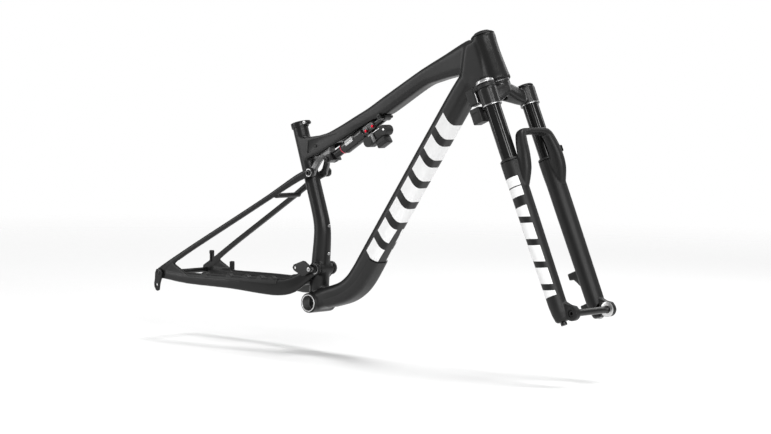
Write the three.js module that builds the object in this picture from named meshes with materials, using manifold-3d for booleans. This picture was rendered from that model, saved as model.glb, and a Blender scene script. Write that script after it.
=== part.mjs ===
// A full-suspension mountain-bike frame with its fork and rear shock.
// Millimetres. +X is the riding direction, +Y the rider's left, +Z up.
// The origin is the centre of the bottom bracket.
import * as THREE from "three";
import { mergeVertices } from "three/addons/utils/BufferGeometryUtils.js";
import Module from "manifold-3d";

const wasm = await Module();
wasm.setup();

// ---- Driving dimensions ----
const CHAINSTAY = 435;
const WHEELBASE = 1198;
const BB_DROP = 40; // how far the axles stand above the bottom bracket
const HEAD_ANGLE = THREE.MathUtils.degToRad(66);
const AXLE_TO_CROWN = 532;
const FORK_OFFSET = 44;
const HEAD_TUBE = 106;
const GAP = 0.3; // running gap between neighbours that touch on the real part

const BB_WIDTH = 73;
const BB_RADIUS = 23;
const BB_BORE = 17.4;
const REAR_HUB = 148;
const FRONT_HUB = 110;
const REAR_AXLE_RADIUS = 6;
const FRONT_AXLE_RADIUS = 7.5;

const STANCHION_SPACING = 132;
const STANCHION_RADIUS = 17.5;
const LEG_FORWARD = 15; // the legs stand this far ahead of the steering axis
const LEG_RADIUS = 21.5;
const FORK_TRAVEL = 120;
const CROWN_DROP = 56; // from the crown race down to the clamp's lower rim
const SEAL_DROP = CROWN_DROP + FORK_TRAVEL + 7.3;

const SEAT_TOP_Z = 406;
const SEAT_POST_BORE = 15.45;

// Pivots of the rear suspension, as [x, z] in the centre plane.
const MAIN_PIVOT = [12, 78];
const STAY_PIVOT = [-6, 296];
const ROCKER_PIVOT = [24, 358];
const CLEVIS_PIVOT = [31, 328];
const SHOCK_EYE = [192, 429];

// Radii of the axles, bolts and bearings.
const INSERT_OUTER = 19.6;
const PIVOT_AXLE = 7;
const PIVOT_BEARING = 12;
const STAY_BOLT = 4;
const ROCKER_AXLE = 5;
const ROCKER_BEARING = 7.6;
const CLEVIS_BOLT = 3.5;
const SHOCK_BOLT = 4;
const SHOCK_HOLLOW = 17.6; // the space in the top tube that the shock lies in

// How many sides stand for a circle on small and on large round pieces.
const SIDES = 12;
const ROUND = 18;

// ---- Geometry helpers ----
const vec = (x, y, z) => new THREE.Vector3(x, y, z);
const Y_AXIS = vec(0, 1, 0);

// A closed geometry as a solid that can be joined and cut, moved by a matrix if one is given.
function solid(geometry, matrix) {
  const bare = geometry.clone();
  if (matrix) bare.applyMatrix4(matrix);
  bare.deleteAttribute("normal");
  bare.deleteAttribute("uv");
  const merged = mergeVertices(bare, 1e-4);
  return new wasm.Manifold(
    new wasm.Mesh({
      numProp: 3,
      vertProperties: merged.attributes.position.array,
      triVerts: new Uint32Array(merged.index.array),
    }),
  );
}

const join = (first, ...rest) => rest.reduce((whole, part) => whole.add(part), first);
const cut = (whole, ...tools) => tools.reduce((left, tool) => left.subtract(tool), whole);

// A tube whose section changes along its spine. Each station holds its centre, its half width
// across, its half height and how square its section is (2 is an ellipse, larger is boxier).
function loft(stations, stepsPerSpan = 3, sides = SIDES) {
  const spine = new THREE.CatmullRomCurve3(
    stations.map(({ at }) => vec(...at)),
    false,
    "centripetal",
  );
  const spans = stations.length - 1;
  const geometry = new THREE.CylinderGeometry(1, 1, 1, sides, spans * stepsPerSpan);
  const place = geometry.attributes.position;
  for (let i = 0; i < place.count; i++) {
    const t = THREE.MathUtils.clamp(place.getY(i) + 0.5, 0, 1);
    const first = Math.min(Math.floor(t * spans), spans - 1);
    const [a, b] = [stations[first], stations[first + 1]];
    const share = THREE.MathUtils.smoothstep(t * spans - first, 0, 1);
    const between = (key, plain) =>
      THREE.MathUtils.lerp(a[key] ?? plain, b[key] ?? plain, share);
    const along = spine.getTangent(t);
    const across = Y_AXIS.clone().addScaledVector(along, -along.y).normalize();
    const upward = across.clone().cross(along);
    const power = 2 / between("square", 2);
    const rounded = (c) => Math.sign(c) * Math.abs(c) ** power;
    const point = spine.getPoint(t);
    point.addScaledVector(across, between("wide") * rounded(place.getX(i)));
    point.addScaledVector(upward, between("high") * rounded(place.getZ(i)));
    place.setXYZ(i, point.x, point.y, point.z);
  }
  return solid(geometry);
}

// A cylinder between two points.
function rod(from, to, radius, endRadius = radius, sides = SIDES) {
  const [start, end] = [vec(...from), vec(...to)];
  const axis = end.clone().sub(start);
  const geometry = new THREE.CylinderGeometry(endRadius, radius, axis.length(), sides);
  geometry.applyQuaternion(
    new THREE.Quaternion().setFromUnitVectors(Y_AXIS, axis.normalize()),
  );
  const middle = start.add(end).multiplyScalar(0.5);
  return solid(geometry.translate(middle.x, middle.y, middle.z));
}

// A cylinder across the frame, at [x, z], from y = left to y = right.
const barrel = ([x, z], radius, from, to, sides = SIDES) =>
  rod([x, from, z], [x, to, z], radius, radius, sides);

// A ring across the frame.
const ring = (at, outer, inner, from, to, sides = SIDES) =>
  cut(barrel(at, outer, from, to, sides), barrel(at, inner, from - 1, to + 1, sides));

// A flat plate across the frame: an outline of [x, z] points, from y = from to y = to.
function plate(outline, from, to) {
  const shape = new THREE.Shape(outline.map(([x, z]) => new THREE.Vector2(x, z)));
  const geometry = new THREE.ExtrudeGeometry(shape, {
    depth: to - from,
    bevelEnabled: false,
  });
  geometry.rotateX(Math.PI / 2);
  return solid(geometry.translate(0, to, 0));
}

// A plate with rounded ends that joins discs: each disc is [x, z, radius].
function strap(discs, from, to) {
  const parts = discs.map(([x, z, radius]) => barrel([x, z], radius, from, to));
  for (let i = 1; i < discs.length; i++) {
    const [ax, az, ar] = discs[i - 1];
    const [bx, bz, br] = discs[i];
    const turn = Math.atan2(bz - az, bx - ax) + Math.PI / 2;
    const [c, s] = [Math.cos(turn), Math.sin(turn)];
    parts.push(
      plate(
        [
          [ax - ar * c, az - ar * s],
          [bx - br * c, bz - br * s],
          [bx + br * c, bz + br * s],
          [ax + ar * c, az + ar * s],
        ],
        from,
        to,
      ),
    );
  }
  return join(...parts);
}

// A turned piece about the local Z axis: the profile is [radius, height] points, anticlockwise.
function turned(profile, sides = SIDES, matrix = undefined) {
  const points = [...profile, profile[0]].map(([r, z]) => new THREE.Vector2(r, z));
  return solid(new THREE.LatheGeometry(points, sides).rotateX(Math.PI / 2), matrix);
}

// A plain tube about the local Z axis.
const sleeve = (inner, outer, low, high, sides = SIDES) =>
  turned(
    [
      [inner, low],
      [outer, low],
      [outer, high],
      [inner, high],
    ],
    sides,
  );

const block = (at, size) => solid(new THREE.BoxGeometry(...size).translate(...at));

// ---- Materials ----
const finish = (color, roughness, metalness) =>
  new THREE.MeshStandardMaterial({ color, roughness, metalness });
const satinCarbon = () => finish(0x2b2b2d, 0.42, 0.1);
const blackAlloy = () => finish(0x1a1a1b, 0.35, 0.7);
const silverAlloy = () => finish(0xb9bcc0, 0.32, 0.9);
const redAlloy = () => finish(0xa31220, 0.3, 0.8);
const steel = () => finish(0x8d9096, 0.3, 1);
const rubber = () => finish(0x121212, 0.85, 0);
const plastic = () => finish(0x17171a, 0.55, 0);
const gloss = () => finish(0x0c0c0d, 0.12, 0.4);
const magnesium = () => finish(0x151516, 0.5, 0.3);

const object = new THREE.Group();

// Adds a named mesh of a solid to a group.
function add(name, body, material, parent = object) {
  const { vertProperties, triVerts, numProp } = body.getMesh();
  const buffer = new THREE.InterleavedBuffer(vertProperties, numProp);
  const geometry = new THREE.BufferGeometry();
  geometry.setAttribute("position", new THREE.InterleavedBufferAttribute(buffer, 3, 0));
  geometry.setIndex(new THREE.BufferAttribute(triVerts, 1));
  const mesh = new THREE.Mesh(geometry, material);
  mesh.name = name;
  parent.add(mesh);
  return mesh;
}

// Both sides of the object, as a name and a sign along Y.
const BOTH = [
  ["right", -1],
  ["left", 1],
];

// ---- Places worked out from the driving dimensions ----
const REAR_AXLE = [-Math.sqrt(CHAINSTAY ** 2 - BB_DROP ** 2), BB_DROP];
const FRONT_AXLE = [REAR_AXLE[0] + WHEELBASE, BB_DROP];
const STEER_UP = [-Math.cos(HEAD_ANGLE), Math.sin(HEAD_ANGLE)];
const STEER_FORWARD = [Math.sin(HEAD_ANGLE), Math.cos(HEAD_ANGLE)];
// The crown race seat: the fork's own frame starts here, with its Z up the steering axis.
const CROWN_RACE = [0, 1].map(
  (i) => FRONT_AXLE[i] - FORK_OFFSET * STEER_FORWARD[i] + AXLE_TO_CROWN * STEER_UP[i],
);

const STEERING = new THREE.Matrix4()
  .makeRotationY(HEAD_ANGLE - Math.PI / 2)
  .setPosition(CROWN_RACE[0], 0, CROWN_RACE[1]);

// The seat tube stands almost upright from the bottom bracket, then leans back from its bend.
const SEAT_BEND = [9, 178];
const SEAT_LEAN = 0.3318; // how far back the upper tube goes for each millimetre up
const seatAt = (z) => SEAT_BEND[0] - (z - SEAT_BEND[1]) * SEAT_LEAN;
const seatPoint = (z, y = 0) => [seatAt(z), y, z];
const SEAT_TUBE_RADIUS = 17.6;

// ---- Front triangle ----
const HEAD_LOW = 5;
const HEAD_HIGH = HEAD_LOW + HEAD_TUBE;
const BEARING_DEPTH = 10;
const LOWER_SEAT = 26.3;
const UPPER_SEAT = 22.3;

const station = (x, z, wide, high, square = 2, y = 0) => ({ at: [x, y, z], wide, high, square });
// The same stations with the section grown (or shrunk) all round.
const grown = (stations, by) =>
  stations.map((s) => ({ ...s, wide: s.wide + by, high: s.high + by }));

const DOWN_TUBE = [
  station(4, 4, 30, 22),
  station(40, 16, 32, 22.5, 2.4),
  station(84, 30, 30, 23.5, 2.4),
  station(114, 49, 28.5, 25, 2.4),
  station(137, 75, 27.5, 26, 2.4),
  station(165, 117, 26.5, 26, 2.4),
  station(241, 230, 26, 26, 2.4),
  station(352, 393, 26, 26, 2.4),
  station(430, 505, 27, 25, 2.3),
  station(474, 552, 24, 22, 2),
];
const TOP_TUBE = [
  station(30, 378, 16, 8, 2.6),
  station(80, 397, 17.5, 12, 2.8),
  station(120, 415, 19, 14, 2.8),
  station(160, 433, 20, 16, 2.8),
  station(203, 455, 21, 19, 2.8),
  station(300, 512, 21, 18.5, 2.6),
  station(340, 530, 21.5, 21.5, 2.5),
  station(380, 545, 22.5, 26, 2.4),
  station(440, 566, 24.5, 35, 2.2),
  station(464, 573, 23, 34, 2),
];
const SEAT_TUBE = [
  station(0, 0, 22, 22),
  station(1.5, 44, 23, 22),
  station(5.5, 97, 21.5, 21),
  station(8.5, 140, 20, 20),
  station(8, 172, 19, 19),
  station(seatAt(205), 205, 18.2, 18),
  station(seatAt(260), 260, 17.6, 17.6),
  station(seatAt(330), 330, SEAT_TUBE_RADIUS, SEAT_TUBE_RADIUS),
  station(seatAt(SEAT_TOP_Z), SEAT_TOP_Z, SEAT_TUBE_RADIUS, SEAT_TUBE_RADIUS),
];
const WALL = 3;

// The web that ties the top tube into the seat tube, seen from the side.
const GUSSET = [
  [seatAt(318), 318],
  [-38, 321],
  [20, 345],
  [60, 366],
  [100, 387],
  [140, 408],
  [120, 424],
  [60, 394],
  [10, 381],
  [seatAt(374) + SEAT_TUBE_RADIUS, 374],
  [seatAt(376), 376],
];
const GUSSET_HALF = 17.5;
const RECESS = [
  [-26, 338],
  [0, 352],
  [40, 373],
  [64, 387],
  [10, 376],
  [-24, 368],
];
const RECESS_DEPTH = 2;
const ROCKER_SLOT = 12.6; // half width of the slot that the rocker hangs in

function headTube() {
  return turned(
    [
      [0, HEAD_LOW],
      [30, HEAD_LOW],
      [29.5, 16],
      [27, 42],
      [26, 80],
      [27, 100],
      [27, HEAD_HIGH],
      [0, HEAD_HIGH],
    ],
    ROUND,
    STEERING,
  );
}

function headBore() {
  return turned(
    [
      [0, HEAD_LOW - 15],
      [33, HEAD_LOW - 15],
      [33, HEAD_LOW],
      [LOWER_SEAT, HEAD_LOW],
      [LOWER_SEAT, HEAD_LOW + BEARING_DEPTH],
      [21.5, HEAD_LOW + BEARING_DEPTH],
      [17.5, HEAD_HIGH - BEARING_DEPTH],
      [UPPER_SEAT, HEAD_HIGH - BEARING_DEPTH],
      [UPPER_SEAT, HEAD_HIGH],
      [31, HEAD_HIGH],
      [31, HEAD_HIGH + 15],
      [0, HEAD_HIGH + 15],
    ],
    ROUND,
    STEERING,
  );
}

const SHOCK_LENGTH = Math.hypot(
  SHOCK_EYE[0] - CLEVIS_PIVOT[0],
  SHOCK_EYE[1] - CLEVIS_PIVOT[1],
);
const SHOCK_TILT = Math.atan2(
  SHOCK_EYE[1] - CLEVIS_PIVOT[1],
  SHOCK_EYE[0] - CLEVIS_PIVOT[0],
);
// A point in the centre plane, given along the shock from its front eye and square to it.
const shockPoint = (along, above = 0, y = 0) => [
  SHOCK_EYE[0] + along * Math.cos(SHOCK_TILT) - above * Math.sin(SHOCK_TILT),
  y,
  SHOCK_EYE[1] + along * Math.sin(SHOCK_TILT) + above * Math.cos(SHOCK_TILT),
];

function frontTriangle() {
  const gusset = cut(
    plate(GUSSET, -GUSSET_HALF, GUSSET_HALF),
    plate(RECESS, GUSSET_HALF - RECESS_DEPTH, GUSSET_HALF + 1),
    plate(RECESS, -GUSSET_HALF - 1, RECESS_DEPTH - GUSSET_HALF),
  );
  const shell = join(
    headTube(),
    loft(TOP_TUBE, 1, 16),
    loft(DOWN_TUBE, 1, 16),
    loft(SEAT_TUBE, 1, 16),
    barrel([0, 0], BB_RADIUS, -BB_WIDTH / 2, BB_WIDTH / 2, ROUND),
    barrel(MAIN_PIVOT, 15, -21.7, 21.7),
    gusset,
  );
  const seatBore = rod(
    seatPoint(205),
    seatPoint(SEAT_TOP_Z + 10),
    SEAT_POST_BORE,
    SEAT_POST_BORE,
    ROUND,
  );
  const insertSeats = BOTH.map(([, sign]) => {
    const span = [sign * (BB_WIDTH / 2 - 24), sign * (BB_WIDTH / 2 + 1)].sort((a, b) => a - b);
    return barrel([0, 0], INSERT_OUTER + GAP, ...span, ROUND);
  });
  return cut(
    shell,
    headBore(),
    seatBore,
    loft(grown(DOWN_TUBE.slice(0, 9), -WALL), 1, SIDES),
    loft(grown(TOP_TUBE.slice(4), -WALL), 1, SIDES),
    loft(grown(SEAT_TUBE.slice(0, 5), -WALL - 2), 1, 10),
    barrel([0, 0], BB_BORE + 1, -BB_WIDTH, BB_WIDTH, ROUND),
    ...insertSeats,
    barrel(MAIN_PIVOT, PIVOT_AXLE + GAP, -30, 30),
    // the rocker's slot, its blind axle bore, and the hollow that the shock lies in
    block([24, 0, 346], [72, 2 * ROCKER_SLOT, 50]),
    barrel(ROCKER_PIVOT, ROCKER_AXLE + GAP, -15, 30),
    barrel(ROCKER_PIVOT, 7.6, 15.5, 30),
    rod(shockPoint(-SHOCK_LENGTH), shockPoint(15), SHOCK_HOLLOW, SHOCK_HOLLOW, ROUND),
    barrel(SHOCK_EYE, SHOCK_BOLT + GAP, -30, 30),
    slotInSeatTube(),
  );
}

// The saw cut at the front of the seat tube that lets its collar close on the post.
function slotInSeatTube() {
  const [x, , z] = seatPoint(SEAT_TOP_Z - 8);
  return block([x + SEAT_TUBE_RADIUS, 0, z], [18, 2, 34]);
}

add("front_triangle", frontTriangle(), satinCarbon());

// The cover that shields the bottom of the down tube from stones.
function downTubeGuard() {
  const covered = DOWN_TUBE.slice(1, 6);
  const above = loft(
    covered.map((s) => ({ ...s, at: [s.at[0] - 13, 0, s.at[2] + 30], wide: 50, high: 38 })),
    1,
    8,
  );
  return cut(loft(grown(covered, 2.6), 1, 16), loft(grown(DOWN_TUBE, GAP), 1, 16), above);
}
add("down_tube_guard", downTubeGuard(), rubber());

for (const [side, sign] of BOTH) {
  const span = [sign * (BB_WIDTH / 2 - 23.5), sign * (BB_WIDTH / 2 + 0.6)].sort((a, b) => a - b);
  const insert = ring([0, 0], INSERT_OUTER, BB_BORE, ...span, ROUND);
  add(`bb_thread_insert_${side}`, insert, silverAlloy());
}

// Seat collar: a split band with a lug and a cross bolt in front of it.
const COLLAR_HEIGHT = 12;
const COLLAR_WALL = 2.6;
const COLLAR = new THREE.Matrix4()
  .makeRotationY(-Math.atan(SEAT_LEAN))
  .setPosition(...seatPoint(SEAT_TOP_Z - COLLAR_HEIGHT + 1.5));
function seatCollar() {
  const band = turned(
    [
      [SEAT_TUBE_RADIUS + GAP, 0],
      [SEAT_TUBE_RADIUS + COLLAR_WALL, 0],
      [SEAT_TUBE_RADIUS + COLLAR_WALL, COLLAR_HEIGHT],
      [SEAT_TUBE_RADIUS + GAP, COLLAR_HEIGHT],
    ],
    ROUND,
    COLLAR,
  );
  const lug = solid(new THREE.BoxGeometry(9, 16, 10).translate(22.5, 0, 6), COLLAR);
  const split = solid(new THREE.BoxGeometry(20, 2, 40).translate(22, 0, 0), COLLAR);
  return cut(join(band, lug), split, collarBolt(3));
}
const collarPoint = (x, y, z) => vec(x, y, z).applyMatrix4(COLLAR).toArray();
const collarBolt = (radius) =>
  rod(collarPoint(23, -9, 6), collarPoint(23, 9, 6), radius, radius, SIDES);
add("seat_collar", seatCollar(), blackAlloy());
add(
  "seat_collar_bolt",
  join(
    collarBolt(2.5),
    rod(collarPoint(23, -11.5, 6), collarPoint(23, -8.4, 6), 4),
    rod(collarPoint(23, 8.4, 6), collarPoint(23, 10, 6), 4),
  ),
  steel(),
);

// Bottle-cage bolts: two on the seat tube's front, two on the down tube's upper side.
const boltOn = (from, out) => {
  const at = (d) => from.map((c, i) => c + d * out[i]);
  return rod(at(GAP), at(3), 4, 3.4, SIDES);
};
add("bottle_bolt_seat_upper", boltOn([27.8, 0, 176], [1, 0, 0]), steel());
add("bottle_bolt_seat_lower", boltOn([27.6, 0, 112], [1, 0, 0]), steel());
const DOWN_SLOPE = Math.atan2(393 - 230, 352 - 241);
const downNormal = [-Math.sin(DOWN_SLOPE), 0, Math.cos(DOWN_SLOPE)];
for (const [name, share] of [
  ["lower", 0.12],
  ["upper", 0.45],
]) {
  const centre = [241 + 111 * share, 0, 230 + 163 * share];
  const skin = centre.map((c, i) => c + downNormal[i] * 26.1);
  add(`bottle_bolt_down_${name}`, boltOn(skin, downNormal), steel());
}

add("cable_port_plug", barrel([-3, 356], 4.2, -17.2, -15.8, SIDES), rubber());

// Main pivot: one axle through the seat tube, a sealed bearing in each swing-arm eye.
add(
  "main_pivot_axle",
  join(
    barrel(MAIN_PIVOT, PIVOT_AXLE, -35, 33.5),
    barrel(MAIN_PIVOT, 10, -36.5, -34.3),
  ),
  blackAlloy(),
);
add("main_pivot_nut", ring(MAIN_PIVOT, 10, PIVOT_AXLE + GAP, 34, 36.5), blackAlloy());
add(
  "rocker_axle",
  join(barrel(ROCKER_PIVOT, ROCKER_AXLE, -14.6, 18), barrel(ROCKER_PIVOT, 7.2, 16, 18)),
  blackAlloy(),
);
add(
  "shock_mount_bolt",
  join(barrel(SHOCK_EYE, SHOCK_BOLT, -23, 21.5), barrel(SHOCK_EYE, 6, -24.5, -22.3)),
  blackAlloy(),
);

// Chain guide: a small plastic fence behind the main pivot, on the chain's side.
function chainGuide() {
  const fence = strap(
    [
      [...MAIN_PIVOT, 7],
      [-6, 90, 7],
      [-32, 79, 7],
      [-5, 67, 5],
      [...MAIN_PIVOT, 7],
    ],
    -48,
    -44.5,
  );
  return cut(fence, barrel(MAIN_PIVOT, 3.3, -60, -30), barrel([-32, 79], 3.5, -60, -30));
}
add("chain_guide", chainGuide(), plastic());
add(
  "chain_guide_bolt",
  join(
    barrel(MAIN_PIVOT, 3, -50, -36.8),
    barrel(MAIN_PIVOT, 5, -50.5, -48.3),
    barrel(MAIN_PIVOT, 6, -44.2, -36.8),
  ),
  steel(),
);

// ---- Rear triangle ----
const chainstay = (sign) => [
  station(-427, 39, 4.6, 10, 2.4, sign * 77.2),
  station(-345, 33.5, 6.2, 12, 2.4, sign * 74.5),
  station(-215, 33.5, 7.5, 14, 2.4, sign * 68),
  station(-130, 31, 8.5, 17.5, 2.4, sign * 57),
  station(-80, 31, 8.5, 19, 2.4, sign * 48.5),
  station(-45, 39, 8.5, 18.5, 2.4, sign * 41),
  station(-16, 58, 6.5, 15, 2.4, sign * 33),
  station(12, 78, 4.4, 12, 2, sign * 27.3),
];
const seatstay = (sign) => [
  station(-428, 50, 4.2, 9, 2.4, sign * 77.4),
  station(-380, 81, 5.5, 6.6, 2.4, sign * 73),
  station(-317, 119, 6.6, 5.8, 2.4, sign * 65.5),
  station(-200, 187, 7, 5.5, 2.4, sign * 52),
  station(-115, 237, 7, 5.7, 2.4, sign * 42),
  station(-42, 281, 6, 8, 2.4, sign * 33.2),
  station(-8, 296, 4.4, 9.5, 2, sign * 29.3),
];
const DROPOUT = [REAR_HUB / 2 + GAP, 79.7];
const PIVOT_EYE = [22.4, 32];
const STAY_EYE = [24.6, 34];
const DROPOUT_WEB = [
  [-441, 34],
  [-425, 28],
  [-356, 24],
  [-345, 44],
  [-398, 71],
  [-432, 58],
  [-445, 50],
];
const spanned = ([near, far], sign) => [sign * near, sign * far].sort((a, b) => a - b);

function rearTriangle() {
  const sides = BOTH.flatMap(([, sign]) => [
    loft(chainstay(sign), 1, SIDES),
    loft(seatstay(sign), 1, 10),
    plate(DROPOUT_WEB, ...spanned(DROPOUT, sign)),
    barrel(REAR_AXLE, 13, ...spanned(DROPOUT, sign), ROUND),
    barrel(MAIN_PIVOT, 15.5, ...spanned(PIVOT_EYE, sign), ROUND),
    barrel(STAY_PIVOT, 11, ...spanned(STAY_EYE, sign), SIDES),
  ]);
  const yoke = barrel([-43, 49], 13.5, -38, 38, SIDES);
  const bridge = barrel([-101, 239], 5.5, -41, 41, SIDES);
  const brakePosts = [
    rod([-415, 75, 40], [-415, 75, 88], 5, 5, SIDES),
    rod([-347, 75, 30], [-347, 75, 66], 5, 5, SIDES),
  ];
  const outerLeft = barrel(REAR_AXLE, 10, 79, 84.5);
  // both dropouts are flat outside, for the hanger on the right and the axle's head on the left
  const flats = BOTH.map(([, sign]) => block([-440, sign * 85, 35], [54, 10.5, 90]));
  return cut(
    join(cut(join(...sides, yoke, bridge, ...brakePosts), ...flats), outerLeft),
    // the wheel's hub end sits flat on each dropout, and the stays stay out of its way
    block([REAR_AXLE[0] + 20, 0, 50], [70, REAR_HUB, 60]),
    barrel(REAR_AXLE, REAR_AXLE_RADIUS + GAP, -90, 90),
    barrel(MAIN_PIVOT, PIVOT_BEARING + GAP, -40, 40),
    barrel(STAY_PIVOT, STAY_BOLT + GAP, -40, 40, SIDES),
    ...BOTH.map(([, sign]) => barrel(MAIN_PIVOT, 17, ...spanned([10, 22.3], sign), SIDES)),
    ...BOTH.map(([, sign]) => barrel(STAY_PIVOT, 13, ...spanned([15, 24.5], sign))),
    ...BOTH.map(([, sign]) => barrel(STAY_PIVOT, 13, ...spanned([34.05, 40], sign))),
  );
}
add("rear_triangle", rearTriangle(), satinCarbon());

for (const [side, sign] of BOTH) {
  add(
    `main_pivot_bearing_${side}`,
    ring(MAIN_PIVOT, PIVOT_BEARING, PIVOT_AXLE + GAP, ...spanned([22.6, 31.6], sign)),
    steel(),
  );
  add(
    `seatstay_bolt_${side}`,
    join(
      barrel(STAY_PIVOT, STAY_BOLT, ...spanned([25, 35.5], sign), SIDES),
      barrel(STAY_PIVOT, 7, ...spanned([34.3, 36.8], sign), SIDES),
    ),
    blackAlloy(),
  );
}

// The ribbed rubber guard that quiets the chain on the right chainstay.
const GUARD_BUMPS = 5;
function chainstayGuard() {
  const covered = chainstay(-1).slice(1, 5);
  const spine = new THREE.CatmullRomCurve3(covered.map(({ at }) => vec(...at)));
  const bumps = Array.from({ length: GUARD_BUMPS }, (_, i) => {
    const at = spine.getPointAt((i + 0.7) / (GUARD_BUMPS + 0.6));
    return rod([at.x - 16, at.y, at.z + 9], [at.x + 16, at.y, at.z + 13], 6, 7, 10);
  });
  const below = loft(
    chainstay(-1)
      .slice(1, 6)
      .map((s) => ({ ...s, at: [s.at[0], s.at[1], s.at[2] - 38], wide: 20, high: 40 })),
    1,
    8,
  );
  return cut(
    join(loft(grown(covered, 2.4), 1, SIDES), ...bumps),
    loft(grown(chainstay(-1), GAP), 1, SIDES),
    below,
  );
}
add("chainstay_guard", chainstayGuard(), rubber());

const HANGER_HOLE = [-440, 13];
add(
  "derailleur_hanger",
  cut(
    strap(
      [
        [...REAR_AXLE, 11.5],
        [...HANGER_HOLE, 8.5],
        [-437, 3, 5],
      ],
      -86,
      -80,
    ),
    barrel(REAR_AXLE, REAR_AXLE_RADIUS + GAP, -90, -70),
    barrel(HANGER_HOLE, 4.5, -90, -70),
  ),
  blackAlloy(),
);
add(
  "rear_axle",
  join(
    barrel(REAR_AXLE, REAR_AXLE_RADIUS, -87, 87, ROUND),
    barrel(REAR_AXLE, 9.5, 84.8, 88.5, ROUND),
  ),
  blackAlloy(),
);

// ---- Rocker ----
function rocker() {
  const arms = BOTH.flatMap(([, sign]) => [
    loft(
      [
        station(-6, 296, 2.8, 9, 2.4, sign * 20.8),
        station(4, 316, 3.2, 9, 2.4, sign * 17),
        station(13, 337, 3, 8, 2.4, sign * 6.8),
        station(24, 358, 3, 7, 2.4, sign * 6),
      ],
      2,
      12,
    ),
    barrel(STAY_PIVOT, 9.5, ...spanned([17.9, 23.9], sign), SIDES),
  ]);
  return cut(
    join(
      ...arms,
      barrel(ROCKER_PIVOT, 10, -12, 12, ROUND),
      strap(
        [
          [...ROCKER_PIVOT, 10],
          [...CLEVIS_PIVOT, 8.8],
        ],
        -9.6,
        9.6,
      ),
    ),
    barrel(ROCKER_PIVOT, ROCKER_BEARING + GAP, -14, 14),
    barrel(CLEVIS_PIVOT, CLEVIS_BOLT + 2.9, -14, 14),
  );
}
add("rocker_link", rocker(), blackAlloy());
for (const [side, sign] of BOTH) {
  add(
    `rocker_bearing_${side}`,
    ring(ROCKER_PIVOT, ROCKER_BEARING, ROCKER_AXLE + GAP, ...spanned([4, 11], sign)),
    steel(),
  );
}

// ---- Shock: its own frame starts at the front eye, with X along it towards the front ----
const shock = new THREE.Group();
shock.position.set(SHOCK_EYE[0], 0, SHOCK_EYE[1]);
shock.rotation.y = -SHOCK_TILT;
object.add(shock);

const CAN = [-138, -69];
const CAN_RADIUS = 15.5;
const SHAFT_RADIUS = 9.5;
const HEAD_BACK = -69;
const alongX = (from, to, radius, y = 0, z = 0, sides = SIDES) =>
  rod([from, y, z], [to, y, z], radius, radius, sides);

function shockBody() {
  return cut(
    join(
      alongX(CAN[0], CAN[1] + 1, CAN_RADIUS, 0, 0, ROUND),
      alongX(CAN[0] - 5, CAN[0] + 1, 12.5),
      block([HEAD_BACK / 2 - 14, 0, 0], [42, 22, 24]),
      alongX(-30, -5, 9),
      barrel([0, 0], 9, -11, 11),
    ),
    alongX(CAN[0] - 10, HEAD_BACK - 6, SHAFT_RADIUS + GAP),
    barrel([0, 0], SHOCK_BOLT + GAP, -20, 20),
    barrel([-34, -5], 3, -20, -6),
    barrel([-56, -5], 3, -20, -6),
  );
}
add("shock_body", shockBody(), gloss(), shock);
add(
  "shock_o_ring",
  cut(alongX(-146, -143.4, 11.6), alongX(-150, -140, SHAFT_RADIUS + GAP)),
  finish(0xc21a3a, 0.6, 0),
  shock,
);
add("shock_air_valve", rod([-130, -11, 11.2], [-130, -12, 12.2], 2.6, 2.6, SIDES), steel(), shock);
for (const [name, along] of [
  ["compression", -34],
  ["rebound", -56],
]) {
  add(
    `shock_${name}_dial`,
    join(barrel([along, -5], 2.6, -15, -7, SIDES), barrel([along, -5], 5, -16.5, -11.5, SIDES)),
    redAlloy(),
    shock,
  );
}

const clevisAt = -SHOCK_LENGTH;
function shockShaft() {
  const cheeks = BOTH.map(([, sign]) =>
    strap(
      [
        [clevisAt, 0, 9.5],
        [clevisAt + 8, 0, 8.5],
      ],
      ...spanned([10.3, 15], sign),
    ),
  );
  return cut(
    join(
      ...cheeks,
      block([clevisAt + 14.8, 0, -3], [4.6, 30, 17]),
      alongX(clevisAt + 14, -112, SHAFT_RADIUS),
    ),
    barrel([clevisAt, 0], CLEVIS_BOLT + GAP, -20, 20),
  );
}
add("shock_shaft", shockShaft(), blackAlloy(), shock);
add(
  "clevis_bolt",
  join(
    barrel([clevisAt, 0], CLEVIS_BOLT, -16, 16, SIDES),
    barrel([clevisAt, 0], 6, -17.5, -15.3, SIDES),
    barrel([clevisAt, 0], 6, 15.3, 17.5, SIDES),
  ),
  steel(),
  shock,
);

// Wireless control module under the shock's head, with a clip-in battery.
const MODULE = { x: -36, y: -6, z: -29 };
add(
  "shock_control_module",
  cut(
    join(
      alongX(MODULE.x - 26, MODULE.x + 26, 12, MODULE.y, MODULE.z),
      barrel([MODULE.x - 26, MODULE.z], 12, MODULE.y - 12, MODULE.y + 12),
      barrel([MODULE.x + 26, MODULE.z], 12, MODULE.y - 12, MODULE.y + 12),
      block([MODULE.x - 8, 0, MODULE.z + 12], [14, 12, 9]),
    ),
    block([MODULE.x + 8, MODULE.y, MODULE.z - 22], [31, 30, 24]),
  ),
  plastic(),
  shock,
);
add(
  "shock_battery",
  block([MODULE.x + 8, MODULE.y, MODULE.z - 19.5], [30, 23, 18]),
  plastic(),
  shock,
);
add(
  "shock_battery_latch",
  block([MODULE.x - 5, MODULE.y - 14.2, MODULE.z - 1], [9, 3, 20]),
  silverAlloy(),
  shock,
);
add(
  "shock_pairing_button",
  barrel([MODULE.x + 30, MODULE.z], 3, MODULE.y - 14.5, MODULE.y - 12.3, SIDES),
  silverAlloy(),
  shock,
);

// ---- Fork: its own frame starts at the crown race, with Z up the steering axis ----
const fork = new THREE.Group();
fork.applyMatrix4(STEERING);
object.add(fork);

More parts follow.
